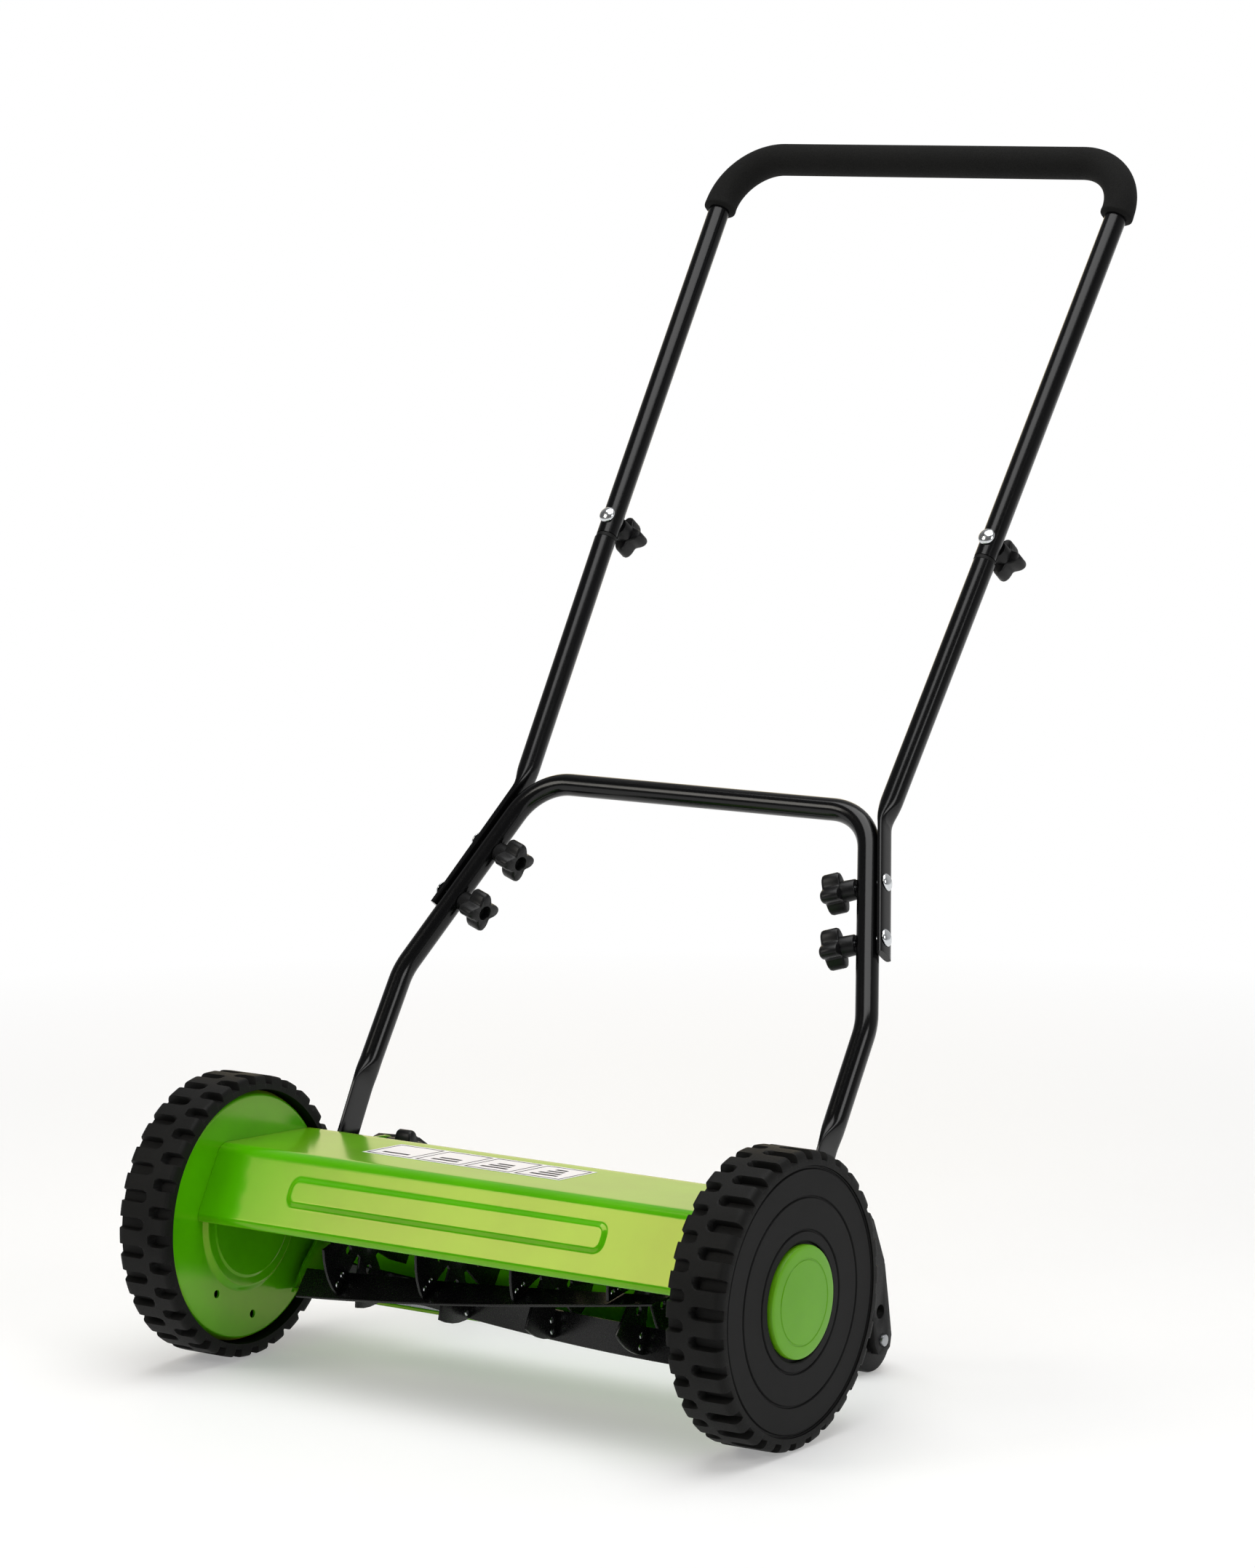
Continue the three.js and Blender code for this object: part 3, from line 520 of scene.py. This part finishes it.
def wheel(side, sign):
    tyre(side, sign)
    out = X * sign
    here = Vector((0, AXLE.y, AXLE.z))
    parts = lathe(disc_profile(), here, out, 128)
    piece(f"rim_{side}_disc", *parts, f"rim_{side}", angle=28)
    gear = []
    for i in range(RING_TEETH):
        middle = 2 * math.pi * (i + 0.5) / RING_TEETH
        for share, r in ((-0.26, 31.9), (-0.1, 28.6), (0.1, 28.6), (0.26, 31.9)):
            a = middle + share * 2 * math.pi / RING_TEETH
            gear.append((r * math.cos(a), r * math.sin(a)))
    rings = []
    for x, outward in ((257, 0), (257, 1), (286.6, 1), (286.6, 0)):
        ring = []
        for a, b in gear:
            k = 40 / math.hypot(a, b) if outward else 1
            ring.append(Vector((sign * x, AXLE.y + a * k, AXLE.z + b * k)))
        rings.append(ring)
    piece(f"ring_gear_{side}", *loft(rings, closed=True), (), "wheel_plastic", f"wheel_{side}",
          angle=25)
    cap = [(289, 44.7), (293, 44.7), (294, 44.2), (294.6, 43.2), (294.9, 41.5), (295.2, 34.6),
           (294.7, 34.2), (294.7, 33.2), (295.3, 32.8), (295.8, 20), (296, 0.05), (289, 0.05)]
    piece(f"hub_cap_{side}_dome", *lathe(cap, here, out, 96), f"hub_cap_{side}", angle=30)


for wheel_side, wheel_sign in (("right", 1), ("left", -1)):
    wheel(wheel_side, wheel_sign)


# ---------------------------------------------------------------- deck
def deck_section():
    """Outer line of the deck from the front lip over the fold to the rear lip, as (y, z)."""
    start = [(-63.6, 125.6), (-65.0, 125.1), (-66.4, 125.4), (-67.4, 126.6), (-67.9, 128.4),
             (-68.0, 131.0)]
    panel = [(mix(-68.0, -41.6, t), mix(131.0, 177.2, t)) for t in np.linspace(0.04, 0.97, 44)]
    fold = []
    for a in np.linspace(154, 93.5, 9):
        fold.append((-29.5 + 13 * math.cos(math.radians(a)),
                     172.2 + 13 * math.sin(math.radians(a))))
    top = [(mix(-28, 80, t), mix(185.1, 178.9, t)) for t in np.linspace(0, 1, 14)]
    rear = [(83, 178.2), (84.6, 176.8), (85.2, 174.5), (85.4, 168), (85.5, 162)]
    return [(AXLE.y + y, z) for y, z in start + panel + fold + top + rear]


RIB = (-163.0, 144.0, 148.5, 167.5)  # x and z limits of the rounded rib on the front panel
RIB_RISE = 2.2
SHEET = 2
DECK_HALF = 247.7
PANEL_Z = (131, 178)  # the front panel between its lip and its fold
TONGUE_X = (211, 213.5)  # ears at the deck's rear that hold the roller arms
TONGUE_R = 10


def rib_rise(x, z):
    """Height of the pressed rib: a raised band that follows a long rounded rectangle."""
    half_x, half_z = (RIB[1] - RIB[0]) / 2, (RIB[3] - RIB[2]) / 2
    dx = abs(x - (RIB[0] + RIB[1]) / 2) - half_x + 7
    dz = abs(z - (RIB[2] + RIB[3]) / 2) - half_z + 7
    edge = math.hypot(max(dx, 0), max(dz, 0)) + min(max(dx, dz), 0) - 7
    return RIB_RISE * (1 - smooth((edge + 2.2) / 4.4))


def deck_cover():
    section = deck_section()
    half = DECK_HALF
    xs = sorted(set(
        list(np.linspace(-half, half, 60)) + list(np.linspace(RIB[0] - 4, RIB[0] + 10, 18))
        + list(np.linspace(RIB[1] - 10, RIB[1] + 4, 18))))
    normals = []
    for i, (y, z) in enumerate(section):
        y0, z0 = section[max(i - 1, 0)]
        y1, z1 = section[min(i + 1, len(section) - 1)]
        size = math.hypot(y1 - y0, z1 - z0)
        normals.append((-(z1 - z0) / size, (y1 - y0) / size))
    rings = []
    for x in xs:
        outer, inner = [], []
        for (y, z), (ny, nz) in zip(section, normals):
            on_panel = PANEL_Z[0] < z < PANEL_Z[1] and y < AXLE.y - 38
            rise = rib_rise(x, z) if on_panel else 0.0
            outer.append(Vector((x, y + ny * rise, z + nz * rise)))
            inner.append(Vector((x, y + ny * (rise - SHEET), z + nz * (rise - SHEET))))
        rings.append(outer + inner[::-1])
    cover = loft(rings)
    tongues = []
    for sign in (1, -1):
        outline = [(AXLE.y + 85.8, 163), (AXLE.y + 85.3, 171)]
        for a in np.linspace(100, -100, 18):
            outline.append((CLAMP.y + TONGUE_R * math.cos(math.radians(a)),
                            CLAMP.z + TONGUE_R * math.sin(math.radians(a))))
        tongues.append(slab(outline, *(sign * x for x in TONGUE_X)))
    piece("deck_cover_sheet", *merged(cover, *tongues), "deck_cover", angle=40)


deck_cover()


def box_on_top(x0, x1, y0, y1, rise):
    """A thin patch lying on the deck's top panel."""
    def level(y):
        return mix(185.1, 178.9, (y + 28) / 108)
    low = [Vector((x, AXLE.y + y, level(y) + 0.03)) for x, y in
           ((x0, y0), (x1, y0), (x1, y1), (x0, y1))]
    return loft([low, [p + Vector((0, 0, rise)) for p in low]])


LABEL = (-138.0, 58.0, 10.0, 64.0)  # x0, x1, y0, y1 on the deck, y from the axle
PANELS = 4
LONG_LINE = 1.6  # frame lines that run along the deck
SHORT_LINE = 1.2


def sticker():
    """A plain sticker with four framed panels and simple marks that say nothing."""
    ground = piece("deck_sticker", *box_on_top(*LABEL, 0.15), (), "green_paint", "chassis",
                   angle=10)
    ground.data.materials[0] = VINYL
    lines = []
    panel_w = (LABEL[1] - LABEL[0]) / PANELS
    for i in range(PANELS):
        x0 = LABEL[0] + panel_w * i + 2.5
        x1 = x0 + panel_w - 5
        y0, y1 = LABEL[2] + 3, LABEL[3] - 3
        for edges in ((x0, x1, y0, y0 + LONG_LINE), (x0, x1, y1 - LONG_LINE, y1),
                      (x0, x0 + SHORT_LINE, y0, y1), (x1 - SHORT_LINE, x1, y0, y1)):
            lines.append(box_on_top(*edges, 0.25))
        cx, cy = (x0 + x1) / 2, (y0 + y1) / 2
        for k in range(i + 1):
            w = 13 - 2.5 * k
            low = cy - 15 + 8.5 * k
            lines.append(box_on_top(cx - w, cx + w, low, low + 4, 0.25))
    marks = piece("deck_sticker_marks", *merged(*lines), (), "green_paint", "chassis", angle=10)
    marks.data.materials[0] = INK


sticker()


# ---------------------------------------------------------------- side plates, cutter, reel
PLATE_PROFILE = [(243.5, 7.4), (243.5, 48.5), (244.3, 50.5), (244.3, 58), (248, 62), (248, 101),
                 (255.9, 104.8), (255.9, 103), (250, 100), (250, 61), (246.2, 57), (246.2, 7.4)]
PLATE_BENDS = [1.5, 1.5, 2.5, 2.5, 2.5, 0.7, 0.7, 1.5, 2.5, 2.5]
BRACKET = [(72.0, 154.0, 11.0), (96.0, 135.0, 14.0), (86.0, 101.0, 11.0)]


def link_outline(start, end):
    """Two circles (y, z, radius) and the straight sides between them."""
    turn = math.atan2(end[1] - start[1], end[0] - start[0])
    outline = []
    for (y, z, r), first in ((start, turn + math.pi / 2), (end, turn - math.pi / 2)):
        for i in range(17):
            a = first + math.pi * i / 16
            outline.append((AXLE.y + y + r * math.cos(a), z + r * math.sin(a)))
    return outline


def side_plate(side, sign):
    """Pressed disc with a raised boss and a rolled rim, and the handle's standing bracket."""
    corners = [Vector((along, r, 0)) for along, r in PLATE_PROFILE]
    path = held(rounded(corners, PLATE_BENDS, 0.5))
    profile = [(p.x, p.y) for p in path]
    here = Vector((0, AXLE.y, AXLE.z))
    disc = piece(f"side_plate_{side}_disc", *lathe(profile, here, X * sign, 128),
                 f"side_plate_{side}", angle=35)
    x0, x1 = sorted((sign * 240, sign * 254))
    spots = [(AXLE.y - 44, 60, 3.5), (AXLE.y + 3, 34, 3.5), (AXLE.y + 75, 54, 3.5)]
    drilled(disc, [(x0, x1, y, z, r) for y, z, r in spots + [(REEL.y, REEL.z, 9.4)]], 35)
    parts = []
    for i, (low, high) in enumerate(((233.85, 236.35), (233.95, 236.25))):
        parts.append(slab(link_outline(BRACKET[i], BRACKET[i + 1]), sign * low, sign * high))
    for y, z, _ in (BRACKET[0], BRACKET[2]):
        parts.append(slab([(AXLE.y + y + 7 * math.cos(a), z + 7 * math.sin(a))
                           for a in np.linspace(0, 2 * math.pi, 24, endpoint=False)],
                          sign * 235.5, sign * 249))
    piece(f"handle_bracket_{side}", *merged(*parts), (), "green_paint", "chassis", bevel=0.5)


for wheel_side, wheel_sign in (("right", 1), ("left", -1)):
    side_plate(wheel_side, wheel_sign)
    refined(f"reel_bearing_{wheel_side}", 0.3)
    refined(f"wheel_axle_{wheel_side}", 0.4)
    refined(f"pinion_{wheel_side}", 0.2)
    refined(f"roller_arm_{wheel_side}", 0.9)

refined("cutter_bar", 0.7)
refined("bed_knife", 0.2)
refined("front_tie_rod", 0.5)
refined("rear_tie_rod", 0.5)
refined("reel_shaft", 0.5)
refined("roller_axle", 0.5)


def blade_angle(x, index):
    """Where a blade stands round the shaft at a distance x from the reel's middle, in degrees."""
    return BLADE_START + BLADE_TWIST * x + 360 / BLADES * index


def reel_blade(index):
    """A strip of steel that twists about the reel's axis, one corner of its edge ground off."""
    low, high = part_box("reel_blade_1")
    half = (high[0] - low[0]) / 2 / MM
    rings = []
    for x in np.linspace(-half, half, 93):
        turn = math.radians(blade_angle(x, index - 1))
        ring = []
        for r, t in ((BLADE_ROOT, -1), (BLADE_R - 0.6, -1), (BLADE_R, -0.4), (BLADE_R, 1),
                     (BLADE_ROOT, 1)):
            ring.append(Vector((x, REEL.y + r * math.cos(turn) - t * math.sin(turn),
                                REEL.z + r * math.sin(turn) + t * math.cos(turn))))
        rings.append(ring)
    piece(f"reel_blade_{index}_strip", *loft(rings), f"reel_blade_{index}", angle=30)


for number in range(1, BLADES + 1):
    reel_blade(number)
for number in range(1, SPIDERS + 1):
    spider = refined(f"reel_spider_{number}", 0.4)
    low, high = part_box(f"reel_spider_{number}")
    middle = (low[0] + high[0]) / 2 / MM
    eyes = []
    for arm in range(BLADES):
        a = math.radians(blade_angle(middle, arm) - 30)
        eyes.append((middle - 3, middle + 3, REEL.y + 29 * math.cos(a),
                     REEL.z + 29 * math.sin(a), 3.8))
    drilled(spider, eyes, 32)


def rivet_tree():
    """Rivet heads on the points of a mesh, flattened along X."""
    tree = bpy.data.node_groups.new("rivet_heads", "GeometryNodeTree")
    sockets = tree.interface
    sockets.new_socket("Geometry", in_out="INPUT", socket_type="NodeSocketGeometry")
    sockets.new_socket("Radius", in_out="INPUT", socket_type="NodeSocketFloat")
    sockets.new_socket("Height", in_out="INPUT", socket_type="NodeSocketFloat")
    sockets.new_socket("Geometry", in_out="OUTPUT", socket_type="NodeSocketGeometry")
    given = node(tree, "NodeGroupInput").outputs
    ball = node(tree, "GeometryNodeMeshUVSphere", {"Segments": 16, "Rings": 10, "Radius": 1.0})
    size = node(tree, "ShaderNodeCombineXYZ", {
        "X": given["Height"], "Y": given["Radius"], "Z": given["Radius"],
    })
    head = node(tree, "GeometryNodeTransform", {
        "Geometry": ball.outputs["Mesh"], "Scale": size.outputs["Vector"],
    })
    heads = node(tree, "GeometryNodeInstanceOnPoints", {
        "Points": given["Geometry"], "Instance": head.outputs["Geometry"],
    })
    real = node(tree, "GeometryNodeRealizeInstances", {"Geometry": heads.outputs["Instances"]})
    soft = node(tree, "GeometryNodeSetShadeSmooth", {"Geometry": real.outputs["Geometry"]})
    done = node(tree, "GeometryNodeSetMaterial", {
        "Geometry": soft.outputs["Geometry"], "Material": ZINC,
    })
    node(tree, "NodeGroupOutput", {"Geometry": done.outputs["Geometry"]})
    return tree


def rivets():
    """Two rivets where each spider arm holds its blade."""
    spots = []
    for number in range(1, SPIDERS + 1):
        low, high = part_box(f"reel_spider_{number}")
        middle = (low[0] + high[0]) / 2 / MM
        for i in range(BLADES):
            for r, back in ((46, 9.5), (55, 8)):
                a = math.radians(blade_angle(middle, i) - back)
                for face in (low[0], high[0]):
                    spots.append((face, (REEL.y + r * math.cos(a)) * MM,
                                  (REEL.z + r * math.sin(a)) * MM))
    mesh = bpy.data.meshes.new("rivet_spots")
    mesh.from_pydata(spots, [], [])
    holder = bpy.data.objects.new("rivet_spots", mesh)
    bpy.context.scene.collection.objects.link(holder)
    tree = rivet_tree()
    maker = holder.modifiers.new("rivets", "NODES")
    maker.node_group = tree
    for item in tree.interface.items_tree:
        if item.in_out == "INPUT" and item.name in ("Radius", "Height"):
            maker[item.identifier] = {"Radius": 2.6, "Height": 1.1}[item.name] * MM
    ready = holder.evaluated_get(bpy.context.evaluated_depsgraph_get())
    heads = bpy.data.objects.new("reel_rivets", bpy.data.meshes.new_from_object(ready))
    bpy.data.objects.remove(holder)
    bpy.context.scene.collection.objects.link(heads)
    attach(heads, "reel")


rivets()


def roller():
    half = 212.0
    profile = [(-half, 5.4), (-half, 25), (-half + 0.8, 27.2), (-half + 2.8, 28), (half - 2.8, 28),
               (half - 0.8, 27.2), (half, 25), (half, 5.4)]
    piece("roller_drum", *lathe(profile, Vector((0, ROLLER.y, ROLLER.z)), X, 72), "roller",
          angle=30)


roller()


# ---------------------------------------------------------------- handle
def lower_handle():
    """The inverted U, pressed flat into a strap at each foot."""
    half = [Vector((LEG_X, PIVOT.y - 13.4 * 0.53, PIVOT.z - 13.4 * 0.85)),
            Vector((LEG_X, NOTCH.y, NOTCH.z)), on_slope(LEG_X, 0),
            on_slope(leg_x(CROSSBAR_S), CROSSBAR_S)]
    corners = half + [mirror(p) for p in reversed(half)]
    path = resampled(rounded(corners, [120, 60, 48, 48, 60, 120]), 4)
    flat_end = (NOTCH - Vector((0, PIVOT.y, PIVOT.z))).length + 13.4 - 8

    def section(at, whole):
        reach = min(at, whole - at)
        t = smooth((reach - flat_end) / 26)
        blunt = smooth(reach / 11)
        across = mix(1.75, TUBE_R, t)
        wide = mix(14, TUBE_R, t) * (0.45 + 0.55 * math.sqrt(max(blunt, 0)))
        return ellipse(across, wide, 32, mix(5.0, 2.0, t))

    piece("lower_handle_tube", *sweep(path, section, X), "lower_handle", angle=40)


def middle_tube(side, sign):
    """Pressed flat beside the leg, round above the bend."""
    corners = [on_slope(middle_x(MIDDLE_END_S), MIDDLE_END_S),
               on_slope(middle_x(MIDDLE_BEND_S), MIDDLE_BEND_S),
               on_slope(upper_x(JOINT_S), JOINT_S - SLEEVE - FLANGE)]
    corners[0] -= PLANE_NORMAL * 3
    corners[1] -= PLANE_NORMAL * 1.5
    if sign < 0:
        corners = [mirror(p) for p in corners]
    path = resampled(rounded(corners, [30]), 4)
    flat = (corners[1] - corners[0]).length

    def section(at, whole):
        t = smooth((at - flat + 8) / 26)
        return ellipse(mix(FLAT_W / 2, TUBE_R, t), mix(FLAT_T / 2, TUBE_R, t), 32,
                       mix(3.2, 2.0, t))

    piece(f"middle_tube_{side}_tube", *sweep(path, section, PLANE_NORMAL), f"middle_tube_{side}",
          angle=40)


def upper_path(start):
    half = [on_slope(upper_x(start), start), on_slope(TOP_X, TOP_BAR_S)]
    return rounded(half + [mirror(p) for p in reversed(half)], [CORNER_R, CORNER_R], 3)


def upper_handle():
    path = resampled(upper_path(JOINT_S - SLEEVE), 5)
    piece("upper_handle_tube", *sweep(path, lambda at, whole: ellipse(TUBE_R, TUBE_R, 32),
                                      PLANE_NORMAL), "upper_handle", angle=40)


def foam_grip():
    """A foam sleeve that swells a little at its cut ends."""
    path = resampled(upper_path(GRIP_END_S), 1.5)

    def skin(at, whole):
        reach = min(at, whole - at)
        lip = 1 - smooth(abs(reach - 2.2) / 5)
        r = GRIP_R - 0.25 + 0.25 * lip - 1.4 * (1 - smooth(reach / 1.6))
        return ellipse(r, r, 48)

    outer = sweep(path, skin, PLANE_NORMAL, caps=False)
    made = piece("foam_grip_sleeve", *outer, "foam_grip", angle=60)
    work = bmesh.new()
    work.from_mesh(made.data)
    loops = [e for e in work.edges if e.is_boundary]
    bmesh.ops.holes_fill(work, edges=loops, sides=0)
    work.to_mesh(made.data)
    work.free()


def tube_joiner(side, sign):
    foot = on_slope(upper_x(JOINT_S - SLEEVE - FLANGE), JOINT_S - SLEEVE - FLANGE)
    head = on_slope(upper_x(JOINT_S), JOINT_S)
    if sign < 0:
        foot, head = mirror(foot), mirror(head)
    profile = [(-24, 6.4), (0.3, 6.4), (0.3, 9.0), (0.6, 9.3), (3.4, 9.3), (3.7, 9.0), (3.7, 6.4),
               (34, 6.4), (34, 0.05), (-24, 0.05)]
    piece(f"tube_joiner_{side}_collar", *lathe(profile, foot, (head - foot).normalized(), 32),
          f"tube_joiner_{side}", angle=30)


lower_handle()
upper_handle()
foam_grip()
for wheel_side, wheel_sign in (("right", 1), ("left", -1)):
    middle_tube(wheel_side, wheel_sign)
    tube_joiner(wheel_side, wheel_sign)


# ---------------------------------------------------------------- bolts and knobs
def star_ring(scale, height):
    points = []
    for i in range(64):
        a = 2 * math.pi * i / 64
        lobe = 0.5 + 0.5 * math.cos(4 * a)
        r = (10.0 + 7.0 * lobe) * scale
        points.append((r * math.cos(a), r * math.sin(a), height))
    return points


def knob(name, at, direction):
    """Four lobes on a tapered hub, with a socket sunk in the end."""
    turn = direction.to_track_quat("Z", "Y")
    levels = [(0.86, 12.0), (0.95, 12.5), (1.0, 14.0), (1.0, 25.4), (0.965, 27.1), (0.88, 28.0)]
    rings = [[at + turn @ Vector(p) for p in star_ring(*level)] for level in levels]

    def circle(r, height):
        return [at + turn @ Vector((r * math.cos(2 * math.pi * i / 64),
                                    r * math.sin(2 * math.pi * i / 64), height))
                for i in range(64)]

    rings = ([circle(3.6, 0.2), circle(8.0, 0.2), circle(8.5, 0.8), circle(9.0, 12.0)] + rings
             + [circle(6.4, 28.0), circle(6.0, 27.5), circle(6.0, 20.5), circle(3.6, 20.2)])
    piece(f"{name}_star", *loft(rings, closed=True), name, angle=42)


def bolt(name, at, direction, length):
    """Domed carriage bolt; its head stands out along the direction."""
    profile = [(-length, 0.05), (-length, 2.6), (-length + 0.5, 3.0), (0.0, 3.0), (0.0, 7.4),
               (0.35, 7.5), (1.3, 7.0), (2.3, 5.9), (3.2, 4.1), (3.8, 2.2), (4.0, 0.05)]
    piece(f"{name}_dome", *lathe(profile, at, direction, 32), name, angle=45)


FASTENINGS = {
    "lower_clamp": (MIDDLE_OFFSET + FLAT_T / 2 + 0.3, TUBE_R + 0.3),
    "upper_clamp": (MIDDLE_OFFSET + FLAT_T / 2 + 0.3, TUBE_R + 0.3),
    "joint": (TUBE_R + 0.3, TUBE_R + 0.3),
    "handle_pivot": (5.15, 2.05),
    "roller_clamp": (3.8, 6.8),
}
for fastening, (to_head, to_knob) in FASTENINGS.items():
    for wheel_side, wheel_sign in (("right", 1), ("left", -1)):
        turning = f"{fastening}_knob_{wheel_side}_turn"
        spot, line = place(turning), axis(turning)
        if abs(line.x) > 0.99:
            line = X * wheel_sign
        knob(f"{fastening}_knob_{wheel_side}", spot - line * to_knob, -line)
        bolt(f"{fastening}_bolt_{wheel_side}", spot + line * to_head, line,
             to_head + to_knob + 17)

# ---------------------------------------------------------------- floor, light, camera
floor_mesh = bpy.data.meshes.new("floor")
floor_mesh.from_pydata([(-9, -9, -0.0005), (9, -9, -0.0005), (9, 9, -0.0005), (-9, 9, -0.0005)],
                       [], [(0, 1, 2, 3)])
floor = bpy.data.objects.new("floor", floor_mesh)
bpy.context.scene.collection.objects.link(floor)


def studio_floor():
    """White paper that takes shadows near the mower and glows like the walls further off."""
    look = finish("studio_floor", "#ffffff", "#fdfdfd", 0.6, 0.02, 40.0, 0.0, 900.0)
    tree = look.node_tree
    paper = next(n for n in tree.nodes if n.type == "BSDF_PRINCIPLED")
    done = next(n for n in tree.nodes if n.type == "OUTPUT_MATERIAL")
    away = node(tree, "ShaderNodeVectorMath", {
        0: node(tree, "ShaderNodeTexCoord").outputs["Object"],
    }, operation="LENGTH")
    share = node(tree, "ShaderNodeMapRange", {
        "Value": away.outputs["Value"], "From Min": 0.7, "From Max": 1.9,
        "To Min": 0.3, "To Max": 1.0,
    })
    wall = node(tree, "ShaderNodeEmission", {"Color": (1, 1, 1, 1), "Strength": 1.0})
    both = node(tree, "ShaderNodeMixShader", {
        0: share.outputs["Result"], 1: paper.outputs["BSDF"], 2: wall.outputs["Emission"],
    })
    tree.links.new(both.outputs["Shader"], done.inputs["Surface"])
    return look


floor_mesh.materials.append(studio_floor())

scene = bpy.context.scene
scene.view_settings.view_transform = "Standard"


def studio_world():
    """Seen directly the studio is white; its light is half as strong from behind, dim in front."""
    world = bpy.data.worlds.new("studio")
    world.use_nodes = True
    tree = world.node_tree
    tree.nodes.clear()
    facing = node(tree, "ShaderNodeSeparateXYZ", {
        "Vector": node(tree, "ShaderNodeTexCoord").outputs["Generated"],
    })
    glow = node(tree, "ShaderNodeMapRange", {
        "Value": facing.outputs["Y"], "From Min": -0.1, "From Max": 0.75,
        "To Min": 0.12, "To Max": 0.5,
    })
    lit = node(tree, "ShaderNodeBackground", {
        "Color": (1, 1, 1, 1), "Strength": glow.outputs["Result"],
    })
    seen = node(tree, "ShaderNodeBackground", {"Color": (1, 1, 1, 1), "Strength": 1.0})
    both = node(tree, "ShaderNodeMixShader", {
        0: node(tree, "ShaderNodeLightPath").outputs["Is Camera Ray"],
        1: lit.outputs["Background"], 2: seen.outputs["Background"],
    })
    node(tree, "ShaderNodeOutputWorld", {"Surface": both.outputs["Shader"]})
    return world


scene.world = studio_world()


def area_light(name, at, target, size, watts, colour=(1, 1, 1)):
    data = bpy.data.lights.new(name, "AREA")
    data.color = colour
    data.size = size
    data.energy = watts
    lamp = bpy.data.objects.new(name, data)
    lamp.location = at
    aim = Vector(target) - Vector(at)
    lamp.rotation_euler = aim.to_track_quat("-Z", "Y").to_euler()
    lamp.visible_camera = False
    scene.collection.objects.link(lamp)


area_light("overhead_softbox", (0.2, -0.2, 3.4), (0, 0, 0.3), 3.0, 95)
area_light("panel_softbox", (-1.446, -2.377, 1.856), (0, -0.34, 0.155), 1.2, 23, (1, 0.97, 0.9))
area_light("right_softbox", (3.2, -1.2, 2.0), (0, 0, 0.4), 1.4, 24)
area_light("deck_card", (-1.62, 2.25, 0.72), (0, -0.28, 0.18), 1.5, 4.5, (1, 0.72, 0.2))

camera = bpy.data.objects.new("camera", bpy.data.cameras.new("camera"))
camera.data.sensor_width = 36
camera.data.lens = 119.28
camera.data.clip_end = 100
camera.location = (2.3775, -3.5998, 1.0611)
camera.rotation_euler = (math.radians(90 - 7.86), 0, math.radians(34.13))
scene.collection.objects.link(camera)
scene.camera = camera
